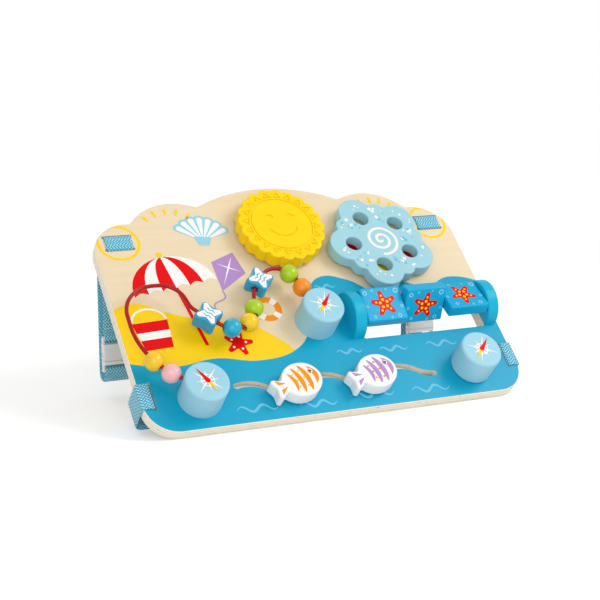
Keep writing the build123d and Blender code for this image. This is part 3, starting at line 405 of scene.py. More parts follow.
# %% Plywood
PLY_LAYERS = 7
PLY_PALE = shade(250, 245, 232)
PLY_DARK = shade(241, 230, 209)
BIRCH = shade(236, 219, 188)
BIRCH_GRAIN = shade(222, 194, 148)
VENEER_SIZES = {"Streaks": 150.0, "Pores": 1100.0}
VENEER_SHARE = 0.62
VENEER_BUMP = (0.12, 0.0003)
FACE_DEPTH = 0.3 * MM
EDGE_GRAIN = shade(196, 164, 122)
EDGE_GRAIN_SHARE = 0.16
FLECK = shade(132, 98, 66)
FLECK_SCALE = 210.0
FLECK_LEVEL = 0.62
FLECK_GAIN = 6.0
FLECK_SHARE = 0.8
BARE_ROUGHNESS = 0.48
INKED_ROUGHNESS_DROP = 0.12
INKED_DEPTH = 0.08
SEA = shade(0, 160, 196)
SAND = shade(248, 206, 0)
YELLOW = shade(250, 208, 0)
SEA_LINE = (
    (-190, 74), (-150, 66), (-110, 70), (-70, 63), (-32, 70), (-8, 96), (2, 128), (22, 150), (48, 144),
    (74, 128), (102, 136), (130, 128), (160, 137), (190, 129))
SAND_LINE = (
    (-190, 132), (-168, 137), (-140, 124), (-105, 112), (-70, 104), (-44, 84), (-30, 66), (0, 20), (190, 20))
RING_PLACES = ((-165.0, 207.5), (165.0, 207.5))
RING_RADIUS = 19.4
RING_HALF_WIDTH = 1.5


def ply_layers(tree, depth):
    """Colour of the cut edge from the depth below the face."""
    layer = maths(tree, "MULTIPLY", depth, PLY_LAYERS / PLY_THICKNESS)
    odd = maths(tree, "GREATER_THAN", maths(tree, "PINGPONG", layer, 1.0), 0.5)
    return mixed(tree, odd, PLY_PALE, PLY_DARK)


def cut_edge(tree, place, depth, grain):
    """Layers of the cut edge with streaks and brown flecks."""
    flecks = noise(tree, place, FLECK_SCALE, detail=3.0)[0]
    flecks = maths(tree, "SUBTRACT", flecks, FLECK_LEVEL, clamp=True)
    flecks = maths(tree, "MULTIPLY", flecks, FLECK_GAIN, clamp=True)
    streaks = maths(tree, "MULTIPLY", grain["Grain"], EDGE_GRAIN_SHARE)
    edge = mixed(tree, streaks, ply_layers(tree, depth), EDGE_GRAIN)
    return mixed(tree, maths(tree, "MULTIPLY", flecks, FLECK_SHARE), edge, FLECK)


def line_mask(tree, flat, points):
    """1 below a smooth line across the board, given by its (u, v) points."""
    curve = put(tree, "ShaderNodeFloatCurve")
    line = curve.mapping.curves[0]
    places = [((u / BOARD_HALF_WIDTH + 1) / 2, v / BOARD_HEIGHT) for u, v in points]
    line.points[0].location = places[0]
    line.points[-1].location = places[-1]
    for place in places[1:-1]:
        line.points.new(*place)
    curve.mapping.update()
    across = put(tree, "ShaderNodeMapRange", {
        "Value": flat["X"], "From Min": -BOARD_HALF_WIDTH * MM, "From Max": BOARD_HALF_WIDTH * MM})
    tree.links.new(across.outputs[0], curve.inputs["Value"])
    height = maths(tree, "MULTIPLY", curve.outputs[0], BOARD_HEIGHT * MM)
    return maths(tree, "LESS_THAN", flat["Y"], height)


def ring_mask(tree, level, centre):
    """1 on a printed ring round one pair of slits."""
    away = vector_maths(tree, "DISTANCE", level, (centre[0] * MM, centre[1] * MM, 0.0))["Value"]
    off = maths(tree, "ABSOLUTE", maths(tree, "SUBTRACT", away, RING_RADIUS * MM))
    return maths(tree, "LESS_THAN", off, RING_HALF_WIDTH * MM)


def seaside(tree, place, flat):
    """Colour of the printed sea, sand and rings, and the mask of where ink lies."""
    sea = line_mask(tree, flat, SEA_LINE)
    inked = maths(tree, "MAXIMUM", sea, line_mask(tree, flat, SAND_LINE))
    colour = mixed(tree, sea, SAND, SEA)
    level = vector(tree, X=flat["X"], Y=flat["Y"])
    for centre in RING_PLACES:
        ring = ring_mask(tree, level, centre)
        colour = mixed(tree, ring, colour, YELLOW)
        inked = maths(tree, "MAXIMUM", inked, ring)
    coat = use(tree, COAT, {"Vector": place, "Colour": colour, "Depth": INKED_DEPTH})
    return coat["Colour"], inked


def plywood(name, with_print):
    """Birch plywood, with the seaside print on its front face where asked."""
    made, tree = blank_material(name)
    place = flat_vector(tree)
    flat = put(tree, "ShaderNodeSeparateXYZ", {0: place}).outputs
    veneer, grain = grained(tree, place, VENEER_SIZES, VENEER_SHARE, BIRCH, BIRCH_GRAIN)
    depth = maths(tree, "MULTIPLY", flat["Z"], -1.0)
    on_front = maths(tree, "LESS_THAN", depth, FACE_DEPTH)
    on_back = maths(tree, "GREATER_THAN", depth, PLY_THICKNESS - FACE_DEPTH)
    on_face = maths(tree, "MAXIMUM", on_front, on_back)
    colour = mixed(tree, on_face, cut_edge(tree, place, depth, grain), veneer)
    roughness = BARE_ROUGHNESS
    if with_print:
        picture, inked = seaside(tree, place, flat)
        inked = maths(tree, "MULTIPLY", inked, on_front)
        colour = mixed(tree, inked, colour, picture)
        drop = maths(tree, "MULTIPLY", inked, INKED_ROUGHNESS_DROP)
        roughness = maths(tree, "SUBTRACT", BARE_ROUGHNESS, drop)
    return surfaced(made, {
        "Base Color": colour, "Roughness": roughness, "Normal": bumped(tree, grain["Height"], *VENEER_BUMP),
        "Specular IOR Level": 0.25, "Coat Weight": 0.06, "Coat Roughness": 0.25})


dressed(["board"], plywood("printed_plywood", with_print=True))
dressed(["stand_lugs"], plywood("lug_plywood", with_print=False))
print("printed lines", len(SEA_LINE), "and", len(SAND_LINE), "points")

# %% [markdown]
# The leg behind the board is the same plywood, but it leans the other way. Its layers would cut across
# it if they followed the board, so its material turns the pattern by the leg's own lean.

# %% Leg plywood
LEG_TURN = math.radians(12.0)
LEG_FACE_DEPTH = 0.4 * MM


def leg_plywood():
    """Plywood of the leg, whose layers lie along its own lean."""
    made, tree = blank_material("leg_plywood")
    low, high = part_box("stand_leg")
    foot = Matrix.Rotation(-LEG_TURN, 3, "X") @ Vector((0.0, high.y, low.z))
    place = put(tree, "ShaderNodeMapping", {
        "Vector": own_place(tree), "Rotation": (-LEG_TURN, 0.0, 0.0)}).outputs[0]
    flat = put(tree, "ShaderNodeSeparateXYZ", {0: place}).outputs
    veneer, grain = grained(tree, place, VENEER_SIZES, VENEER_SHARE, BIRCH, BIRCH_GRAIN)
    depth = maths(tree, "SUBTRACT", foot.y, flat["Y"])
    inside = maths(tree, "GREATER_THAN", depth, LEG_FACE_DEPTH)
    shallow = maths(tree, "LESS_THAN", depth, PLY_THICKNESS - LEG_FACE_DEPTH)
    colour = mixed(tree, maths(tree, "MULTIPLY", inside, shallow), veneer, ply_layers(tree, depth))
    return surfaced(made, {
        "Base Color": colour, "Roughness": 0.5, "Normal": bumped(tree, grain["Height"], *VENEER_BUMP),
        "Coat Weight": 0.1, "Coat Roughness": 0.3})


dressed(["stand_leg"], leg_plywood())
print("leg plywood turned", round(math.degrees(LEG_TURN)), "degrees")

# %% [markdown]
# ## Paint, dowels, wire, steel and plastic
# Each toy is turned or sawn wood under one coat of lacquer, and the beads are polished. Axles, pegs and
# keepers are bare beech. The wire has a dipped red coat, and the buckles are moulded in milky plastic,
# which lets some light in. One function makes every coated finish, because only its numbers differ.

# %% Plain finishes
LACQUER_DEPTH = 0.12
LACQUER_PEEL = (0.06, 0.0004)
BEAD_POLISH = {"coat": 0.7, "haze": 0.07}
BEECH_PALE = shade(232, 200, 155)
BEECH_GRAIN = shade(190, 145, 98)
BEECH_SIZES = {"Streaks": 300.0, "Pores": 1500.0}
BEECH_SHARE = 0.7
BEECH_BUMP = (0.15, 0.0003)
DRAWN_SCALE = 900.0
DRAWN_ROUGHNESS = 0.22
DRAWN_SPREAD = 0.2


def painted(name, colour, coat=0.06, specular=0.16, haze=0.22):
    """Lacquered wood of one colour; haze is the roughness of the lacquer."""
    return coated(name, colour, LACQUER_DEPTH, LACQUER_PEEL, {
        "Coat Weight": coat, "Coat Roughness": haze, "Specular IOR Level": specular})


def beech():
    """Bare beech dowel."""
    made, tree = blank_material("beech")
    place = flat_vector(tree)
    colour, grain = grained(tree, place, BEECH_SIZES, BEECH_SHARE, BEECH_PALE, BEECH_GRAIN)
    return surfaced(made, {
        "Base Color": colour, "Roughness": 0.55, "Normal": bumped(tree, grain["Height"], *BEECH_BUMP)})


def steel():
    """Bright drawn steel with fine lines."""
    made, tree = blank_material("steel")
    lines = noise(tree, own_place(tree), DRAWN_SCALE, detail=2.0)[0]
    roughness = maths(tree, "ADD", DRAWN_ROUGHNESS, maths(tree, "MULTIPLY", lines, DRAWN_SPREAD))
    return surfaced(made, {"Base Color": shade(196, 198, 200), "Metallic": 1.0, "Roughness": roughness})


def wire_coat():
    """Dipped red plastic coat of the wire."""
    return coated("wire_coat", shade(168, 6, 14), depth=0.15, peel=(0.05, 0.0003), looks={
        "Specular IOR Level": 0.12, "Coat Weight": 0.3, "Coat Roughness": 0.06})


def milky_plastic():
    """Milky plastic that lets some light through."""
    return coated("milky_plastic", shade(232, 234, 236), depth=0.05, peel=(0.04, 0.0003), looks={
        "Subsurface Weight": 0.35, "Subsurface Radius": (0.004, 0.004, 0.004), "Subsurface Scale": 1.0})


PAINTS = {
    "sun_paint": (shade(250, 210, 0), ["sun_wheel"]),
    "splash_paint": (shade(158, 206, 218), ["splash_wheel"]),
    "knob_paint": (shade(156, 206, 222), ["left_anchor_knob", "middle_anchor_knob", "compass_knob"]),
    "bracket_paint": (shade(16, 172, 206), ["left_bracket", "right_bracket"]),
    "tablet_paint": (shade(6, 164, 208), ["left_tablet", "middle_tablet", "right_tablet"]),
    "fish_paint": (shade(240, 240, 238), ["left_fish", "right_fish"]),
    "pink_paint": (shade(240, 180, 182), ["pink_bead"]),
    "yellow_paint": (shade(242, 196, 0), ["left_yellow_bead", "right_yellow_bead"]),
    "turquoise_paint": (shade(0, 168, 200), ["turquoise_bead"]),
    "green_paint": (shade(166, 202, 0), ["lower_green_bead", "upper_green_bead"]),
    "orange_paint": (shade(246, 138, 0), ["orange_bead"]),
    "star_paint": (shade(0, 152, 196), ["lower_star_bead", "upper_star_bead"]),
}
for name, (colour, wearers) in PAINTS.items():
    polish = BEAD_POLISH if wearers[0].endswith("_bead") else {}
    dressed(wearers, painted(name, colour, **polish))
dowels = [wheel + part for wheel in ("sun", "splash", "compass") for part in ("_axle", "_keeper", "_spacer")]
dowels += [fish + part for fish in ("left_fish", "right_fish") for part in ("_peg", "_keeper")]
buckles = [f"{level}_{side}_buckle_{half}" for level in ("upper", "lower") for side in ("left", "right")
           for half in ("socket", "plug")]
dressed(dowels, beech())
dressed(["anchor_screws", "bracket_screws", "tablet_axle", "stand_pins"], steel())
dressed(["bead_wire"], wire_coat())
dressed(buckles, milky_plastic())
print("paints", len(PAINTS), "dowels", len(dowels), "buckle halves", len(buckles))

# %% [markdown]
# ## Prints
# A screen print is a film of ink. It could be a painted image, but an outline stays crisp from close by.
# So each motif is a flat filled curve with a hair of thickness that lies on the wood and moves with the
# piece that it is printed on. Films that overlap lie on different layers, as one ink lies on another.

# %% Ink films
INK_THICKNESS = 0.1 * MM
INK_LIFT = 0.03 * MM
MERGE_DISTANCE = 1e-7


def raised(layer=0):
    """Matrix that lifts the middle of a film to its layer."""
    return Matrix.Translation((0.0, 0.0, INK_LIFT + (layer + 0.5) * INK_THICKNESS))


def frozen(maker):
    """Plain mesh of what an object makes; the object is then removed."""
    bpy.context.view_layer.update()
    mesh = bpy.data.meshes.new_from_object(maker.evaluated_get(bpy.context.evaluated_depsgraph_get()))
    bpy.data.objects.remove(maker)
    return mesh


def ink_film(loops, place, layer=0):
    """Mesh of a flat print from closed loops of (x, y) in millimetres; inner loops are holes."""
    curve = bpy.data.curves.new("outline", "CURVE")
    curve.dimensions = "2D"
    curve.fill_mode = "BOTH"
    curve.extrude = INK_THICKNESS / 2
    for loop in loops:
        spline = curve.splines.new("POLY")
        spline.points.add(len(loop) - 1)
        for point, (x, y) in zip(spline.points, loop):
            point.co = (x * MM, y * MM, 0.0, 1.0)
        spline.use_cyclic_u = True
    mesh = frozen(added("outline", curve))
    mesh.transform(place @ raised(layer))
    return mesh


def closed(name, made, finish):
    """Mesh of a finished bmesh, its faces turned outwards."""
    bmesh.ops.recalc_face_normals(made, faces=made.faces)
    mesh = bpy.data.meshes.new(name)
    made.to_mesh(mesh)
    made.free()
    mesh.materials.append(finish)
    return mesh


def shown(name, mesh, body):
    """Piece that rides on a body."""
    piece = added(name, mesh)
    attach(piece, body)
    return piece


def printed(name, films, colour, body):
    """One piece from the films of one ink on one body."""
    joined = bmesh.new()
    for film in films:
        joined.from_mesh(film)
        bpy.data.meshes.remove(film)
    bmesh.ops.remove_doubles(joined, verts=joined.verts, dist=MERGE_DISTANCE)
    shown(name, closed(name, joined, INKS[colour]), body)


def ink(name, colour):
    """Screen-print ink with a faint mesh texture."""
    return coated(name, colour, depth=0.1, peel=(0.08, 0.0002), looks={"Specular IOR Level": 0.14})


INKS = {name: ink(name + "_ink", colour) for name, colour in (
    ("red", shade(226, 0, 6)), ("white", shade(243, 242, 238)), ("pale_blue", shade(150, 208, 226)),
    ("light_blue", shade(108, 190, 222)), ("yellow", YELLOW), ("purple", shade(178, 140, 200)),
    ("orange", shade(243, 146, 20)), ("sea", SEA), ("dark", shade(60, 60, 66)))}
print("inks", len(INKS))

# %% [markdown]
# Motifs share a few outlines: circles and arcs, stars, brush strokes and wavy lines. Each is a formula
# with a few sizes, because a traced outline would hold hundreds of points that nobody can change.

# %% Outlines
TIP_STEPS = 5
TIP_SWING = math.radians(30.0)
TIP_SHARE = 0.6
TIP_DROP = 0.6
WAVY_STEPS = 40
WAVY_CRESTS = 2


def polar(reach, angle, centre=(0.0, 0.0)):
    """Point at a reach and an angle from a centre."""
    return (centre[0] + reach * math.cos(angle), centre[1] + reach * math.sin(angle))


def turned(points, centre, angle):
    """Points turned about the origin and moved to a centre."""
    cosine, sine = math.cos(angle), math.sin(angle)
    return [(centre[0] + x * cosine - y * sine, centre[1] + x * sine + y * cosine) for x, y in points]


def arc(across, up, first, last, steps, centre=(0.0, 0.0)):
    """Points along an elliptical arc from one angle to another."""
    angles = [first + (last - first) * step / steps for step in range(steps + 1)]
    return [(centre[0] + across * math.cos(a), centre[1] + up * math.sin(a)) for a in angles]


def disc(radius, centre=(0.0, 0.0), steps=36):
    """Circle."""
    return arc(radius, radius, 0.0, 2 * math.pi, steps, centre)[:-1]


def trapezoid(low, high, low_half, high_half):
    """Upright block between two heights, with half its width at each."""
    return [(-low_half, low), (low_half, low), (high_half, high), (-high_half, high)]


def star_loop(points, outer, inner, first, centre=(0.0, 0.0)):
    """Star whose tips are softened by short arcs."""
    loop = []
    for index in range(points):
        tip = first + 2 * math.pi / points * index
        for step in range(TIP_STEPS):
            swing = (step / (TIP_STEPS - 1) - 0.5) * TIP_SWING
            loop.append(polar(outer * (1 - TIP_DROP * swing * swing), tip + swing * TIP_SHARE, centre))
        loop.append(polar(inner, tip + math.pi / points, centre))
    return loop


def stroke_loop(points, width, taper=0.0):
    """Brush stroke along points, narrowing towards both ends by a share."""
    left, right = [], []
    last = len(points) - 1
    for index, (x, y) in enumerate(points):
        before, after = points[max(index - 1, 0)], points[min(index + 1, last)]
        along = Vector((after[0] - before[0], after[1] - before[1])).normalized()
        half = width / 2 * (1 - taper * abs(2 * index / last - 1) ** 2)
        left.append((x - along.y * half, y + along.x * half))
        right.append((x + along.y * half, y - along.x * half))
    return left + right[::-1]


def wavy(centre, length, rise):
    """Level wavy line about a centre."""
    shares = [step / WAVY_STEPS for step in range(WAVY_STEPS + 1)]
    turn = 2 * math.pi * WAVY_CRESTS
    return [(centre[0] + length * (s - 0.5), centre[1] + rise * math.sin(turn * s)) for s in shares]


print("star outline", len(star_loop(5, 1.0, 0.5, 0.0)), "points")

# %% [markdown]
# ## Motifs on the board
# A striped parasol and a bucket stand on the sand, a kite flies over them, and a scallop shell, a
# starfish and a lifebuoy fill the rest. Plain wave strokes lie on the sea, and short dashes on the two
# inner lobes. All are everyday shapes. All films of one ink become one piece, as one screen prints them.

# %% Parasol and bucket
FACE = at(0.0, 0.0)
BOARD_PRINTS = {
    "red": "board_red_print", "white": "board_white_print", "yellow": "board_yellow_print",
    "purple": "board_purple_print", "pale_blue": "board_pale_print", "light_blue": "board_wave_print",
    "orange": "board_orange_print"}
board_films = {colour: [] for colour in BOARD_PRINTS}
PARASOL = (-124.0, 150.0)
PARASOL_RADIUS = 42.0
PARASOL_HEIGHT = 0.9 * PARASOL_RADIUS
PARASOL_TILT = math.radians(9.0)
PARASOL_GORES = 6
SEAM_STEPS = 10
SCALLOP_DROP = 3.4
SCALLOP_STEPS = 8
POLE_LENGTH = 66.0
POLE_TOP = 1.0
POLE_HALF_WIDTH = 1.6
FINIAL_RADIUS = 3.0
BUCKET = (-158.0, 86.0)
BUCKET_TURN = 0.06
BUCKET_SHAPE = (0.0, 30.0, 13.0, 17.0)
BUCKET_BAND = (11.0, 19.0, 14.6, 15.6)
HANDLE_FOOT = (0.0, 31.0)
HANDLE_REACHES = (16.0, 13.0)
HANDLE_WIDTH = 2.0
HANDLE_STEPS = 16


def draw(colour, *loops, layer=0):
    """Film of one ink on the board's face."""
    board_films[colour].append(ink_film(loops, FACE, layer))


def gore(index):
    """One panel of the parasol between two curved seams, with a scalloped hem."""
    left, right = (2 * (index + way) / PARASOL_GORES - 1 for way in (0, 1))
    seams = [arc(share * PARASOL_RADIUS, PARASOL_HEIGHT, math.pi / 2, 0.0, SEAM_STEPS)
             for share in (left, right)]
    shares = [step / SCALLOP_STEPS for step in range(1, SCALLOP_STEPS)]
    hem = [(PARASOL_RADIUS * (left + (right - left) * share), SCALLOP_DROP * math.sin(math.pi * share))
           for share in shares]
    return turned(seams[0] + hem + seams[1][::-1][:-1], PARASOL, PARASOL_TILT)


for index in range(PARASOL_GORES):
    draw("white" if index % 2 else "red", gore(index))
pole = trapezoid(-POLE_LENGTH, POLE_TOP, POLE_HALF_WIDTH, POLE_HALF_WIDTH)
finial = disc(FINIAL_RADIUS, (0.0, PARASOL_HEIGHT + FINIAL_RADIUS))
draw("red", turned(pole, PARASOL, PARASOL_TILT), layer=1)
draw("yellow", turned(finial, PARASOL, PARASOL_TILT), layer=1)
handle = arc(*HANDLE_REACHES, 0.0, math.pi, HANDLE_STEPS, HANDLE_FOOT)
draw("red", turned(trapezoid(*BUCKET_SHAPE), BUCKET, BUCKET_TURN))
draw("white", turned(trapezoid(*BUCKET_BAND), BUCKET, BUCKET_TURN), layer=1)
draw("white", stroke_loop(turned(handle, BUCKET, BUCKET_TURN), HANDLE_WIDTH))
print("parasol gores", PARASOL_GORES)

# %% [markdown]
# A starfish, a kite, a scallop shell and a lifebuoy lie about the parasol. The shell could be one long
# outline, but its ribs follow a fan, so one rib is drawn and turned from side to side. The stripe on each
# rib and the bands of the lifebuoy are a second film on the first.

# %% Starfish, kite, shell and lifebuoy
STARFISH = (-84.0, 84.0)
STARFISH_REACHES = (14.0, 6.2)
STARFISH_DOT_REACH = 7.0
STARFISH_DOT = 1.2
FIFTH = math.radians(72.0)
KITE = (-70.0, 164.0)
KITE_TURN = math.radians(-28.0)
KITE_SAIL = ((0, 26), (17, 6), (0, -24), (-17, 6))
KITE_CROSS = ((0, 20), (0.9, 6.6), (12.5, 6), (0.9, 5.2), (0, -17), (-0.9, 5.2), (-12.5, 6), (-0.9, 6.6))
TAIL_SWING = 4.0
TAIL_TURN = 0.55
TAIL_STEP = 2.2
TAIL_STEPS = 15
TAIL_WIDTH = 1.3
SHELL = (-82.0, 203.0)
SHELL_TURN = -0.12
SHELL_RIBS = 7
RIB_PITCH = math.radians(19.0)
RIB_FOOT = 3.2
RIB_BULGE = 0.06
RIB_STEPS = 8
RIB_INKS = (("pale_blue", 30.0, 1.0), ("white", 27.4, 0.66))
SHELL_FOOT = (-5.0, 5.0, 5.0, 9.0)
BUOY = (-44.0, 118.0)
BUOY_RADII = (14.0, 7.4)
BUOY_BAND = ((7.2, -2.6), (14.2, -3.4), (14.2, 3.4), (7.2, 2.6))
BUOY_BANDS = 4

draw("red", star_loop(5, *STARFISH_REACHES, FIFTH, STARFISH))
for arm in range(5):
    dot = polar(STARFISH_DOT_REACH, FIFTH * (arm + 1), STARFISH)
    draw("white", disc(STARFISH_DOT, dot, steps=12), layer=1)

tail = [(TAIL_SWING * math.sin(step * TAIL_TURN), KITE_SAIL[2][1] - step * TAIL_STEP)
        for step in range(TAIL_STEPS)]
draw("purple", turned(KITE_SAIL, KITE, KITE_TURN))
draw("white", turned(KITE_CROSS, KITE, KITE_TURN), layer=1)
draw("purple", stroke_loop(turned(tail, KITE, KITE_TURN), TAIL_WIDTH), layer=1)


def shell_rib(index, reach, share):
    """One rib of a scallop shell, fanning out from its foot."""
    angle = math.pi / 2 + (index - (SHELL_RIBS - 1) / 2) * RIB_PITCH
    half = RIB_PITCH / 2 * share
    shares = [step / RIB_STEPS for step in range(RIB_STEPS + 1)]
    rim = [polar(reach * (1 + RIB_BULGE * math.sin(math.pi * s)), angle + half * (2 * s - 1)) for s in shares]
    rib = [polar(RIB_FOOT, angle - half)] + rim + [polar(RIB_FOOT, angle + half)]
    return turned(rib, SHELL, SHELL_TURN)


for index in range(SHELL_RIBS):
    for layer, (colour, reach, share) in enumerate(RIB_INKS):
        draw(colour, shell_rib(index, reach, share), layer=layer)
draw("pale_blue", turned(trapezoid(*SHELL_FOOT), SHELL, SHELL_TURN), layer=2)

draw("orange", *(disc(radius, BUOY) for radius in BUOY_RADII))
for index in range(BUOY_BANDS):
    draw("white", turned(BUOY_BAND, BUOY, math.pi / BUOY_BANDS * (2 * index + 1)), layer=1)
print("shell ribs", SHELL_RIBS)

# %% [markdown]
# Waves and dashes are strokes of a brush that thins towards its ends. A curve with a bevel could draw
# them, but a flat print needs only the outline of the stroke. With them all films are there, and those of
# one ink are joined into one piece.

# %% Waves, dashes and the finished board prints
WAVE_STROKES = (
    (-88, 14, 40), (-30, 11, 36), (26, 14, 44), (86, 12, 40), (66, 60, 30), (20, 62, 26), (118, 60, 34),
    (22, 138, 22))
WAVE_RISE_SHARE = 0.076
WAVE_WIDTH = 2.6
WAVE_TAPER = 0.8
LOBE_PLACES = ((-110.6, 207.0), (110.6, 207.0))
DASHES = 5
DASH_FIRST = math.radians(52.0)
DASH_PITCH = math.radians(19.0)
DASH_REACHES = (30.5, 32.5, 34.5, 36.5, 38.5)
DASH_WIDTH = 3.0
DASH_TAPER = 0.5

for u, v, length in WAVE_STROKES:
    draw("light_blue", stroke_loop(wavy((u, v), length, WAVE_RISE_SHARE * length), WAVE_WIDTH, WAVE_TAPER))
for lobe in LOBE_PLACES:
    for index in range(DASHES):
        dash = [polar(reach, DASH_FIRST + DASH_PITCH * index, lobe) for reach in DASH_REACHES]
        draw("yellow", stroke_loop(dash, DASH_WIDTH, DASH_TAPER))
for colour, name in BOARD_PRINTS.items():
    printed(name, board_films[colour], colour, "board")
print("board prints", len(BOARD_PRINTS))

# %% [markdown]
# ## Compass roses
# Each knob carries the usual rose: eight slim white points with a small ring, and a needle that is half
# red and half yellow. Each could be drawn point by point, but a rose is a rule of turns and reaches, so
# one loop prints all three.

# %% Knob prints
ROSES = (
    ("left_rose", "board", "left_anchor_knob", 118.0),
    ("middle_rose", "board", "middle_anchor_knob", 50.0),
    ("right_rose", "compass", "compass_knob", 46.0),
)
ROSE_POINTS = 8
ROSE_REACHES = (16.4, 10.8)
ROSE_VALLEY = 2.7
ROSE_TURN = math.radians(20.0)
ROSE_RING = (6.4, 5.5)
NEEDLE_HUB = 2.5
NEEDLE_RED = ((0, -2.3), (15.6, 0), (0, 2.3))
NEEDLE_YELLOW = ((-2.2, 1.8), (-14.4, 0), (-2.2, -1.8))


def rose_loop(first):
    """Outline of a rose with long and short points by turns."""
    loop = []
    for index in range(ROSE_POINTS):
        angle = first + 2 * math.pi / ROSE_POINTS * index
        loop.append(polar(ROSE_REACHES[index % 2], angle))
        loop.append(polar(ROSE_VALLEY, angle + math.pi / ROSE_POINTS))
    return loop


for name, body, knob, heading in ROSES:
    spot = middle(knob)
    face = at(spot.x, spot.y, top(knob))
    angle = math.radians(heading)
    ring = [disc(radius) for radius in ROSE_RING]
    red, yellow = (turned(half, (0.0, 0.0), angle) for half in (NEEDLE_RED, NEEDLE_YELLOW))
    hub = disc(NEEDLE_HUB, steps=20)
    for colour, films in (
            ("white", [ink_film([rose_loop(angle + ROSE_TURN)], face), ink_film(ring, face, 1)]),
            ("red", [ink_film([red], face, 2), ink_film([hub], face, 3)]),
            ("yellow", [ink_film([yellow], face, 2)])):
        printed(f"{name}_{colour}", films, colour, body)
print("roses", len(ROSES))

# %% [markdown]
# ## Spiral and bubbles on the splash wheel
# The wheel is printed with a spiral among bubbles. Bubbles could be drawn one by one, but Geometry Nodes
# suit both: a spiral is a curve with a rule, and the bubbles are one disc repeated with random sizes. The
# trees end in Realize Instances and Set Material, and the result becomes a plain mesh.

# %% Geometry Nodes recipes
BUBBLE_STEP = 0.003 * MM


def recipe(name, inputs):
    """Empty Geometry Nodes tree with named inputs; returns it with its sockets."""
    return node_group(name, "GeometryNodeTree", inputs, {"Geometry": "Geometry"})


def completed(tree, shape, finish, result):
    """End a recipe with real geometry in its material."""
    real = put(tree, "GeometryNodeRealizeInstances", {"Geometry": shape})
    worn = put(tree, "GeometryNodeSetMaterial", {"Geometry": real.outputs[0], "Material": finish})
    tree.links.new(worn.outputs[0], result["Geometry"])
    return tree


def grown(name, tree, values, place, points=()):
    """Plain mesh that a recipe makes, from points where it needs them, moved to its place."""
    start = bpy.data.meshes.new(name + "_holder")
    start.from_pydata(points, [], [])
    holder = added(name + "_holder", start)
    modifier = holder.modifiers.new("recipe", "NODES")
    modifier.node_group = tree
    for item in tree.interface.items_tree:
        if item.item_type == "SOCKET" and item.in_out == "INPUT" and item.name in values:
            modifier[item.identifier] = values[item.name]
    mesh = frozen(holder)
    mesh.transform(place)
    return mesh


def spiral_recipe():
    """Flat ribbon wound outwards."""
    tree, given, result = recipe("spiral_recipe", {
        "Turns": 2.2, "Inner": 0.001, "Outer": 0.01, "Width": 0.002, "Thickness": 0.0001, "Ink": "Material"})
    spiral = put(tree, "GeometryNodeCurveSpiral", {
        "Resolution": 40, "Rotations": given["Turns"], "Start Radius": given["Inner"],
        "End Radius": given["Outer"], "Height": 0.0})
    ribbon = put(tree, "GeometryNodeCurvePrimitiveQuadrilateral", {
        "Width": given["Width"], "Height": given["Thickness"]})
    upright = put(tree, "GeometryNodeSetCurveNormal", {"Curve": spiral.outputs[0]}, mode="Z_UP")
    swept = put(tree, "GeometryNodeCurveToMesh", {
        "Curve": upright.outputs[0], "Profile Curve": ribbon.outputs[0], "Fill Caps": True})
    return completed(tree, swept.outputs[0], given["Ink"], result)


def bubble_recipe():
    """Discs strewn between the finger holes: clusters in equal sectors, at random radii and sizes."""
    tree, given, result = recipe("bubble_recipe", {
        "Count": 30, "Sectors": 5, "First": 0.0, "Spread": 0.3, "Nearest": 0.02, "Farthest": 0.04,
        "Smallest": 0.0005, "Largest": 0.0015, "Thickness": 0.0001, "Seed": 1, "Ink": "Material"})
    index = put(tree, "GeometryNodeInputIndex").outputs[0]

    def random(low, high, offset):
        """Random number for each disc."""
        seed = maths(tree, "ADD", given["Seed"], offset)
        inputs = {2: low, 3: high, 7: index, 8: seed}
        return put(tree, "FunctionNodeRandomValue", inputs, data_type="FLOAT").outputs[1]

    sector = maths(tree, "MODULO", index, given["Sectors"])
    turn = maths(tree, "DIVIDE", maths(tree, "MULTIPLY", sector, 2 * math.pi), given["Sectors"])
    swing = maths(tree, "MULTIPLY", random(-1.0, 1.0, offset=0), given["Spread"])
    angle = maths(tree, "ADD", maths(tree, "ADD", turn, given["First"]), swing)
    reach = random(given["Nearest"], given["Farthest"], offset=11)
    spot = vector(
        tree, X=maths(tree, "MULTIPLY", reach, maths(tree, "COSINE", angle)),
        Y=maths(tree, "MULTIPLY", reach, maths(tree, "SINE", angle)),
        Z=maths(tree, "MULTIPLY", index, BUBBLE_STEP))
    points = put(tree, "GeometryNodePoints", {"Count": given["Count"], "Position": spot})
    bubble = put(tree, "GeometryNodeMeshCylinder", {
        "Vertices": 14, "Radius": 1.0, "Depth": given["Thickness"]})
    size = random(given["Smallest"], given["Largest"], offset=23)
    placed = put(tree, "GeometryNodeInstanceOnPoints", {
        "Points": points.outputs[0], "Instance": bubble.outputs[0],
        "Scale": vector(tree, X=size, Y=size, Z=1.0)})
    return completed(tree, placed.outputs[0], given["Ink"], result)


SPIRAL = spiral_recipe()
BUBBLES = bubble_recipe()
print("recipes", SPIRAL.name, BUBBLES.name)

# %% [markdown]
# The spiral winds round the middle of the wheel, and bubbles gather between the finger holes and on the
# rim. Each set of bubbles is the same recipe with its own count, reach and seed, so a set is one line of
# a short list, and a new seed strews it anew.

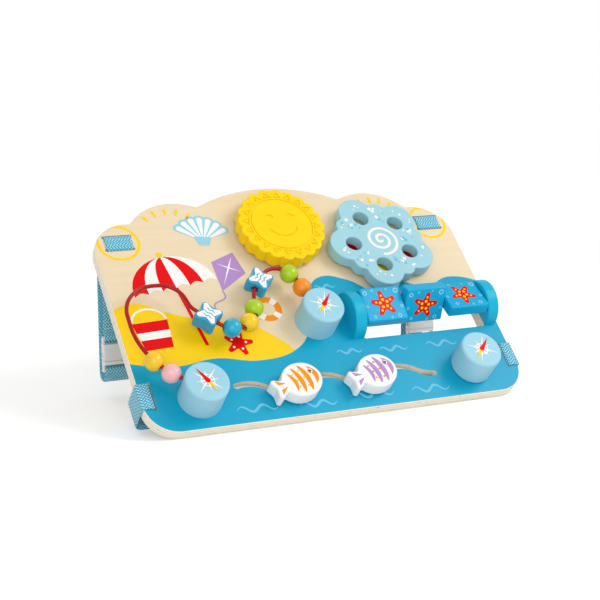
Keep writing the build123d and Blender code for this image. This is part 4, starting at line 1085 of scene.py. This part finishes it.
# %% Splash wheel prints
SPLASH = middle("splash_axle")
SPLASH_TOP = top("splash_wheel")
SPLASH_FIRST = math.radians(40.0)
SPLASH_DROPS = 5
SPIRAL_TURN = math.radians(-30.0)
SPIRAL_SIZES = {"Turns": 2.2, "Inner": 1.0 * MM, "Outer": 18.4 * MM, "Width": 3.2 * MM}
BUBBLE_SETS = (
    ("splash_white_bubbles", "white", 0, 25, 3, (36.0, 14.0), (23.5, 42.0), (0.6, 2.1)),
    ("splash_blue_bubbles", "light_blue", 1, 25, 19, (36.0, 14.0), (23.5, 42.0), (0.6, 1.9)),
    ("splash_rim_bubbles", "white", 2, 20, 41, (0.0, 16.0), (42.5, 47.0), (0.5, 1.6)),
)

spiral = grown("splash_spiral", SPIRAL, {
    **SPIRAL_SIZES, "Thickness": INK_THICKNESS, "Ink": INKS["white"]},
    at(SPLASH.x, SPLASH.y, SPLASH_TOP, SPIRAL_TURN) @ raised())
shown("splash_spiral", spiral, "splash")
for name, colour, layer, count, seed, (first, spread), (near, far), (small, large) in BUBBLE_SETS:
    bubbles = grown(name, BUBBLES, {
        "Count": count, "Sectors": SPLASH_DROPS, "Seed": seed, "First": SPLASH_FIRST + math.radians(first),
        "Spread": math.radians(spread), "Nearest": near * MM, "Farthest": far * MM, "Smallest": small * MM,
        "Largest": large * MM, "Thickness": INK_THICKNESS, "Ink": INKS[colour]},
        at(SPLASH.x, SPLASH.y, SPLASH_TOP) @ raised(layer))
    shown(name, bubbles, "splash")
    print(name, len(bubbles.polygons), "faces")

# %% [markdown]
# Two red discs and a yellow one are printed on the board behind the wheel, and peep through its finger
# holes. They could be painted into the holes, but they wander from hole to hole as the wheel turns, so
# they belong to the board, not to the wheel.

# %% Discs behind the splash wheel
PEEP_PITCH_RADIUS = 30.7
PEEP_RADIUS = 9.0
PEEP_SHIFT = (3.0, 6.0)
PEEPS = {"red": (2, 4), "yellow": (3,)}
peep_centre = (SPLASH.x + PEEP_SHIFT[0], SPLASH.y + PEEP_SHIFT[1])
for colour, holes in PEEPS.items():
    angles = [SPLASH_FIRST + 2 * math.pi * hole / SPLASH_DROPS for hole in holes]
    films = [ink_film([disc(PEEP_RADIUS, polar(PEEP_PITCH_RADIUS, angle, peep_centre))], FACE)
             for angle in angles]
    printed(f"peep_{colour}_print", films, colour, "board")
print("peeps", len(PEEPS))

# %% [markdown]
# ## Tablets
# The three tablets flip on one axle, so both broad faces carry a print: a red starfish with yellow dots
# among pale bubbles. The back could be a drawing of its own, but the same loops serve both faces, and only
# the matrix of the face differs.

# %% Tablet prints
TABLETS = (("left_tablet", 11.0, 25.0), ("middle_tablet", 63.0, 80.0), ("right_tablet", -12.0, 50.0))
TABLET_HALF_THICKNESS = 6.0
TABLET_STAR = (13.5, 6.0)
TABLET_DOTS = ((4.0, 1.5), (8.2, 1.1))
TABLET_BUBBLES = (
    (-17, 12, 2.2), (-13, -13, 1.7), (16, 12.5, 2.6), (18, -4, 1.5), (13, -13.5, 2.0), (-18.2, -2, 1.4),
    (-9, 14.2, 1.3), (6, 14.4, 1.0), (4.5, -15, 1.2))
BUBBLE_BORE_SHARE = 0.62


def two_faces(place, lean, half):
    """Matrices of the two broad faces of a plate that leans about X."""
    lift = Matrix.Translation((0.0, 0.0, half * MM))
    return [place @ Matrix.Rotation(lean + side * math.pi, 4, "X") @ lift for side in (0, 1)]


axle = middle("tablet_axle")
for body, lean, spin in TABLETS:
    films = {"red": [], "yellow": [], "pale_blue": []}
    place = at(middle(body).x, axle.y, axle.z)
    first = math.radians(spin)
    for face in two_faces(place, math.radians(lean), TABLET_HALF_THICKNESS):
        films["red"].append(ink_film([star_loop(5, *TABLET_STAR, first)], face))
        for arm in range(5):
            for reach, size in TABLET_DOTS:
                dot = disc(size, polar(reach, first + FIFTH * arm), steps=14)
                films["yellow"].append(ink_film([dot], face, 1))
        for x, y, size in TABLET_BUBBLES:
            rim = [disc(radius, (x, y), steps=18) for radius in (size, size * BUBBLE_BORE_SHARE)]
            films["pale_blue"].append(ink_film(rim, face))
    for colour, made in films.items():
        printed(f"{body}_{colour}_print", made, colour, body)
print("tablets", len(TABLETS))

# %% [markdown]
# ## Fish
# Both fish are white blocks with curved bands, dots, a coloured head and an eye. The outline of the block
# is in the solid, so the bands only have to stay inside it. They could be straight, but bowed ones follow
# the round belly, and one rule of bowing serves the bands and the back of the head.

# %% Fish prints
FISH = (("left_fish", "orange", "yellow"), ("right_fish", "purple", "orange"))
FISH_LEAN = math.radians(16.0)
BANDS = ((-10.5, 9.5, 3.6), (-4.2, 13.0, 4.6), (3.2, 13.6, 4.8))
BAND_BULGE = 2.6
BAND_END_SHARE = 0.06
BAND_STEPS = 16
HEAD_BACK = 9.5
HEAD_HALF = 12.5
NOSE_REACHES = (15.2, 12.2)
NOSE_MIDDLE = (1.6, 0.0)
NOSE_ANGLE = math.radians(54.0)
NOSE_STEPS = 18
EYE = (11.6, 4.2)
EYE_RADIUS = 2.5
PUPIL = (11.8, 4.2)
PUPIL_RADIUS = 1.2
TAIL_RAY = ((-17.0, 1.6), (-26.0, 7.8), (-24.6, 2.6))
FISH_DOTS = (
    (1.2, 8.6, 1.1), (1.6, -8.4, 1.1), (-6.6, 6.8, 1.0), (-6.4, -6.6, 1.0), (2.6, 0.2, 1.2),
    (-5.4, 0.2, 1.1))


def bowed(x, half):
    """Points up a bowed line across the fish, each with its share of fullness."""
    heights = [half * (2 * step / BAND_STEPS - 1) for step in range(BAND_STEPS + 1)]
    return [(x + BAND_BULGE * (1 - (y / half) ** 2), y, 1 - (y / half) ** 2) for y in heights]


def band_loop(x, half, width):
    """Curved band across the fish."""
    line = [(along, y, width / 2 * math.sqrt(max(full, BAND_END_SHARE))) for along, y, full in bowed(x, half)]
    front = [(along + reach, y) for along, y, reach in line]
    back = [(along - reach, y) for along, y, reach in line]
    return front + back[::-1]


for body, main, second in FISH:
    peg = middle(body + "_peg")
    face = at(peg.x, peg.y, top(body), FISH_LEAN)
    head = [(x, y) for x, y, full in bowed(HEAD_BACK, HEAD_HALF)]
    head += arc(*NOSE_REACHES, NOSE_ANGLE, -NOSE_ANGLE, NOSE_STEPS, NOSE_MIDDLE)
    bands = [ink_film([band_loop(*band)], face) for band in BANDS]
    bands.append(ink_film([head, disc(EYE_RADIUS, EYE, steps=20)], face))
    bands += [ink_film([[(x, way * y) for x, y in TAIL_RAY]], face) for way in (-1, 1)]
    dots = [ink_film([disc(radius, (x, y), steps=14)], face, 1) for x, y, radius in FISH_DOTS]
    pupil = ink_film([disc(PUPIL_RADIUS, PUPIL, steps=14)], face)
    printed(f"{body}_bands", bands, main, body)
    printed(f"{body}_dots", dots, second, body)
    printed(f"{body}_eye", [pupil], "dark", body)
print("fish", len(FISH))

# %% [markdown]
# ## Star beads
# The two large beads on the wire are blue, with a white star and three blue ripples on both faces. The
# prints could be placed by eye, but their middles are measured on the solids, and their headings are
# those of the wire where the beads hang.

# %% Star bead prints
STAR_BEADS = (("lower_star_bead", -43.795), ("upper_star_bead", 49.027))
STAR_POINTS = 4
STAR_REACHES = (11.6, 5.6)
STAR_TURN = math.radians(45.0)
RIPPLES = ((-3.6, 4.8), (0.0, 6.2), (3.6, 4.8))
RIPPLE_RISE = 0.65
RIPPLE_WIDTH = 1.0
RIPPLE_TAPER = 0.7
for body, heading in STAR_BEADS:
    stars, ripples = [], []
    spot = middle(body)
    for face in two_faces(at(*spot, math.radians(heading)), 0.0, top(body) - spot.z):
        stars.append(ink_film([star_loop(STAR_POINTS, *STAR_REACHES, STAR_TURN)], face))
        for row, reach in RIPPLES:
            ripple = stroke_loop(wavy((0.0, row), 2 * reach, RIPPLE_RISE), RIPPLE_WIDTH, RIPPLE_TAPER)
            ripples.append(ink_film([ripple], face, 1))
    printed(body + "_star", stars, "white", body)
    printed(body + "_ripples", ripples, "sea", body)
print("star beads", len(STAR_BEADS))

# %% [markdown]
# ## Webbing straps
# The straps are flat woven tape. The weave could be modelled thread by thread, but at this size a
# material does it: two crossing waves make the plain weave, and a slanting one the ribs. It reads a UV
# map that is measured in metres along and across the tape, so the weave keeps its size round every bend.

# %% Webbing weave
WEBBING_WIDTH = 26.0
THREAD = 3.0 * MM
RIB_SLANT = 2.0
RIB_SHARE = 0.35
PALE_LEVEL = 0.28
FUZZ_SCALE = 2600.0
PAINTED_SHADE_SHARE = 0.22
FUZZ_HEIGHT_SHARE = 0.6
WEAVE_BUMP = (0.55, 0.0003)
WEBBING_BLUE = shade(52, 166, 198)
WEBBING_PALE = shade(190, 228, 236)
WEBBING_PAINTED_SHADE = shade(30, 130, 160)


def webbing_finish():
    """Plain weave of blue and pale threads, with raised crossings and painted shade of a darker blue by the
    fuzz.
    """
    made, tree = blank_material("webbing")
    place = own_place(tree, "UV")
    flat = put(tree, "ShaderNodeSeparateXYZ", {0: place}).outputs
    along, across = (maths(tree, "SINE", maths(tree, "MULTIPLY", flat[axis], 2 * math.pi / THREAD))
                     for axis in ("X", "Y"))
    crossing = maths(tree, "MULTIPLY", along, across)
    slant = maths(tree, "ADD", flat["X"], maths(tree, "MULTIPLY", flat["Y"], RIB_SLANT))
    rib = maths(tree, "SINE", maths(tree, "MULTIPLY", slant, math.pi / THREAD))
    fuzz = noise(tree, place, FUZZ_SCALE, detail=2.0)[0]
    woven = maths(tree, "ADD", crossing, maths(tree, "MULTIPLY", rib, RIB_SHARE))
    colour = mixed(tree, maths(tree, "GREATER_THAN", woven, PALE_LEVEL), WEBBING_BLUE, WEBBING_PALE)
    # Painted shade: a darker blue mixed in where the fuzz noise is high, in place of shade in the weave's
    # hollows.
    colour = mixed(tree, maths(tree, "MULTIPLY", fuzz, PAINTED_SHADE_SHARE), colour, WEBBING_PAINTED_SHADE)
    height = maths(tree, "ADD", crossing, maths(tree, "MULTIPLY", fuzz, FUZZ_HEIGHT_SHARE))
    return surfaced(made, {
        "Base Color": colour, "Roughness": 0.78, "Normal": bumped(tree, height, *WEAVE_BUMP),
        "Sheen Weight": 0.25})


WEBBING = webbing_finish()
print("threads across", round(WEBBING_WIDTH * MM / THREAD, 1))

# %% [markdown]
# An upper strap passes through two slits, and a lower one through a slit and round the board's edge. Both
# close with a buckle behind the board. A swept curve could follow such a route, but a strip of faces laid
# row by row keeps the tape flat and its weave measured. The route is that of the CAD solid, worked out
# from the slits and the buckle in the plane that the strap lies in.

# %% Strap routes
WEBBING_THICKNESS = 1.4
SEAT_GAP = 0.3
LOOP_MARGIN = 0.1
WEBBING_LIFT = SEAT_GAP + WEBBING_THICKNESS / 2
SLIT_TURN = 2.0
BUCKLE_LENGTH = 33.7
BAR_WIDTH = 2.4
UPPER_SLIT_SHARES = (0.7559, 0.8125)
STRAND_CLEARANCE = 7.65
STRAND_SPREAD = 17.0
LOOP_CLEARANCE = 14.0
SIDE_SLIT_SHARE = 0.9447
SIDE_STRAND_DEPTHS = (5.6, 20.0)
SIDE_LOOP_REACH = 88.0
TURN_STEPS = 10
TAPE_STEP = 4.0


def from_room(back, up):
    """Board's (v, n) of a point at a distance back and a height from the board's foot."""
    return (back * math.cos(LEAN) + up * math.sin(LEAN), up * math.cos(LEAN) - back * math.sin(LEAN))


def behind(v, back):
    """Point straight behind a spot on the board, at a distance back in the room."""
    return (v, (v * math.cos(LEAN) - back) / math.sin(LEAN))


def upper_route():
    """Corners and turns of an upper strap: up from its buckle, through both slits, and straight down."""
    low, high = (share * BOARD_HEIGHT for share in UPPER_SLIT_SHARES)
    front = low * math.cos(LEAN) + PLY_THICKNESS / MM * math.sin(LEAN) + STRAND_CLEARANCE
    rear = front + STRAND_SPREAD
    bottom = LOOP_CLEARANCE + WEBBING_THICKNESS / 2 - FOOT.z / MM
    buckle = bottom + STRAND_SPREAD / 2 + BAR_WIDTH
    loop = STRAND_SPREAD / 2 - LOOP_MARGIN
    return (
        (from_room(front, buckle + BUCKLE_LENGTH + SEAT_GAP), behind(low, front), (low, WEBBING_LIFT),
         (high, WEBBING_LIFT), behind(high, rear), from_room(rear, bottom), from_room(front, bottom),
         from_room(front, buckle - SEAT_GAP)),
        (loop, SLIT_TURN, SLIT_TURN, loop, loop, loop))


def side_route():
    """Corners and turns of a side strap: from its buckle out through the slit and round the edge."""
    slit = SIDE_SLIT_SHARE * BOARD_HALF_WIDTH
    edge = BOARD_HALF_WIDTH + WEBBING_LIFT
    front, rear = (-PLY_THICKNESS / MM - depth for depth in SIDE_STRAND_DEPTHS)
    inner = BOARD_HALF_WIDTH - SIDE_LOOP_REACH
    buckle = inner + (front - rear) / 2 + BAR_WIDTH
    loop = (front - rear) / 2 - LOOP_MARGIN
    return (
        ((buckle + BUCKLE_LENGTH + SEAT_GAP, front), (slit, front), (slit, WEBBING_LIFT),
         (edge, WEBBING_LIFT), (edge, rear), (inner, rear), (inner, front), (buckle - SEAT_GAP, front)),
        (SLIT_TURN, SLIT_TURN, SLIT_TURN, loop, loop, loop))


def tape_line(route, turns):
    """Points along the tape: straight runs joined by round turns."""
    corners = [Vector(point) for point in route]
    line = [corners[0]]
    for index, radius in enumerate(turns, start=1):
        into = (corners[index] - corners[index - 1]).normalized()
        out = (corners[index + 1] - corners[index]).normalized()
        angle = into.angle_signed(out)
        start = corners[index] - into * radius * math.tan(abs(angle) / 2)
        centre = start + Vector((-into.y, into.x)) * math.copysign(radius, -angle)
        for step in range(TURN_STEPS + 1):
            line.append(centre + Matrix.Rotation(-angle * step / TURN_STEPS, 2) @ (start - centre))
    line.append(corners[-1])
    fine = [line[0]]
    for point in line[1:]:
        start = fine[-1]
        gap = point - start
        count = max(1, math.ceil(gap.length / TAPE_STEP))
        fine += [start + gap * (step / count) for step in range(1, count + 1)]
    return fine


UPPER_LINE = tape_line(*upper_route())
SIDE_LINE = tape_line(*side_route())
print("points on the routes", len(UPPER_LINE), len(SIDE_LINE))

# %% [markdown]
# Both ends of a strap turn round a bar of the buckle, lie back against the tape and are sewn down there.
# A hem could be a loop of its own, but as part of the same strip its weave runs on round the bar.

# %% Hems and tape
SELVAGE = 1.8
SELVAGE_TIP_SHARE = 0.2
SECTION_SHARES = (0.55, 1.0, 0.9, 0.88)
BAR_FAR = 2.7
BAR_HALF_THICKNESS = 2.2
BAR_GAP = 0.15
LAYER_GAP = 0.05
HEM_CORNER = BAR_GAP + WEBBING_THICKNESS / 2
HEM_DROP = WEBBING_THICKNESS + LAYER_GAP
HEM_RISE = 5.0
HEM_LAY = 11.0
HEM_STEPS = 8


def beside(line, back, lift):
    """Point at a distance back from a line's end, and lifted off the line."""
    for near, far in zip(line[::-1], line[-2::-1]):
        step = near - far
        if back <= step.length:
            break
        back -= step.length
    along = step.normalized()
    return near - along * back + Vector((-along.y, along.x)) * lift


def hemmed(line, side):
    """Line that turns round a buckle's bar past its end and lies back against itself."""
    shares = [step / HEM_STEPS for step in range(HEM_STEPS + 1)]
    eased = [(share, share * share * (3 - 2 * share)) for share in shares]
    turns = [(HEM_CORNER * math.sin(math.pi / 2 * share), HEM_CORNER * math.cos(math.pi / 2 * share))
             for share in shares]
    over = BAR_HALF_THICKNESS + HEM_CORNER
    drop = HEM_DROP - over
    kept, spare = list(line), HEM_RISE
    while spare > 0:
        spare -= (kept[-1] - kept[-2]).length
        kept.pop()
    kept += [beside(line, HEM_RISE * (1 - share), side * over * part) for share, part in eased]
    kept += [beside(line, -BAR_FAR - s, side * (BAR_HALF_THICKNESS + c)) for s, c in turns]
    kept += [beside(line, -BAR_FAR - c, -side * (BAR_HALF_THICKNESS + s)) for s, c in turns]
    kept += [beside(line, HEM_RISE * share, -side * (over + drop * part)) for share, part in eased]
    return kept + [beside(line, HEM_RISE + HEM_LAY * share, -side * HEM_DROP) for share in shares[1:]]


def tape_section():
    """Cross-section of the tape: (across, up) points round its soft selvages."""
    half, thick = WEBBING_WIDTH / 2, WEBBING_THICKNESS / 2
    places = (half - SELVAGE * SELVAGE_TIP_SHARE, half - SELVAGE, half / 2, 0.0)
    right = [(x, thick * share) for x, share in zip(places, SECTION_SHARES)]
    top_side = [(-x, y) for x, y in right[:-1]] + right[::-1]
    return top_side + [(half, 0.0)] + [(x, -y) for x, y in reversed(top_side)] + [(-half, 0.0)]


def tape(name, line, spread):
    """Mesh of a strap; spread turns (across, in-plane a, in-plane b) into the board's (u, v, n)."""
    section = tape_section()
    count = len(section)
    made = bmesh.new()
    uv = made.loops.layers.uv.new("UVMap")
    rows, runs, length = [], [], 0.0
    for index, point in enumerate(line):
        before, after = line[max(index - 1, 0)], line[min(index + 1, len(line) - 1)]
        along = (after - before).normalized()
        out = Vector((-along.y, along.x))
        length += (point - before).length
        runs.append(length * MM)
        places = [Vector(spread(x, *(point + out * y))) * MM for x, y in section]
        rows.append([made.verts.new(STANCE @ place) for place in places])
    for row in range(len(rows) - 1):
        for step in range(count):
            after = (step + 1) % count
            spots = ((row, step), (row, after), (row + 1, after), (row + 1, step))
            face = made.faces.new([rows[r][s] for r, s in spots])
            face.smooth = True
            for loop, (r, s) in zip(face.loops, spots):
                loop[uv].uv = (runs[r], (section[s][0] + WEBBING_WIDTH) * MM)
    for row in (rows[0], rows[-1]):
        made.faces.new(row)
    print(name, "length", round(length), "mm")
    return closed(name, made, WEBBING)


# %% [markdown]
# Every hem has two rows of stitches on both of its sides. They could be bumps in the weave, but real ones
# catch the light. A stitch is one small pressed bead of thread, and Geometry Nodes repeat it: first along
# a row, and then the row on every point where one is sewn.

# %% Stitches and straps
STITCH_ROWS = (HEM_RISE + 2.5, HEM_RISE + 8.5)
STITCH_LIFTS = (WEBBING_THICKNESS / 2, -HEM_DROP - WEBBING_THICKNESS / 2)
STITCH_SIZES = {"Count": 9, "Pitch": 2.7 * MM, "Length": 0.95 * MM, "Radius": 0.32 * MM}


def stitch_recipe():
    """Rows of short stitches: one row on every point, along X or turned by an angle."""
    tree, given, result = recipe("stitch_recipe", {
        "Geometry": "Geometry", "Count": 9, "Pitch": 0.0027, "Length": 0.001, "Radius": 0.0003, "Angle": 0.0,
        "Thread": "Material"})
    reach = maths(tree, "MULTIPLY", maths(tree, "SUBTRACT", given["Count"], 1.0), given["Pitch"])
    row = put(tree, "GeometryNodeMeshLine", {
        "Count": given["Count"], "Start Location": vector(tree, X=maths(tree, "MULTIPLY", reach, -0.5)),
        "Offset": vector(tree, X=given["Pitch"])})
    bead = put(tree, "GeometryNodeMeshUVSphere", {"Segments": 8, "Rings": 6, "Radius": 1.0})
    stitches = put(tree, "GeometryNodeInstanceOnPoints", {
        "Points": row.outputs[0], "Instance": bead.outputs[0],
        "Scale": vector(tree, X=given["Length"], Y=given["Radius"], Z=given["Radius"])})
    rows = put(tree, "GeometryNodeInstanceOnPoints", {
        "Points": given["Geometry"], "Instance": stitches.outputs[0],
        "Rotation": vector(tree, Z=given["Angle"])})
    return completed(tree, rows.outputs[0], given["Thread"], result)


def stitched(name, line, spread, angle):
    """Mesh of the stitch rows through both layers of a strap's two hems."""
    spots = [beside(way, back, side * lift) for way, side in ((line, 1), (line[::-1], -1))
             for back in STITCH_ROWS for lift in STITCH_LIFTS]
    points = [Vector(spread(0.0, *spot)) * MM for spot in spots]
    return grown(name, STITCHES, {**STITCH_SIZES, "Angle": angle, "Thread": SEWING}, STANCE, points)


SEWING = painted("sewing_thread", shade(206, 228, 236), coat=0.0, specular=0.1)
STITCHES = stitch_recipe()
for word, side in (("left", -1), ("right", 1)):
    across = middle(f"upper_{word}_strap").x
    along = middle(f"lower_{word}_strap").y
    for level, line, angle, spread in (
            ("upper", UPPER_LINE, 0.0, lambda x, v, n: (across + x, v, n)),
            ("lower", SIDE_LINE, math.pi / 2, lambda x, u, n: (side * u, along + x, n))):
        name = f"{level}_{word}_webbing"
        strap = shown(name, tape(name, hemmed(hemmed(line, 1)[::-1], -1), spread), "board")
        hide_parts(f"{level}_{word}_strap")
        name = f"{level}_{word}_stitches"
        shown(name, stitched(name, line, spread, angle), "board")
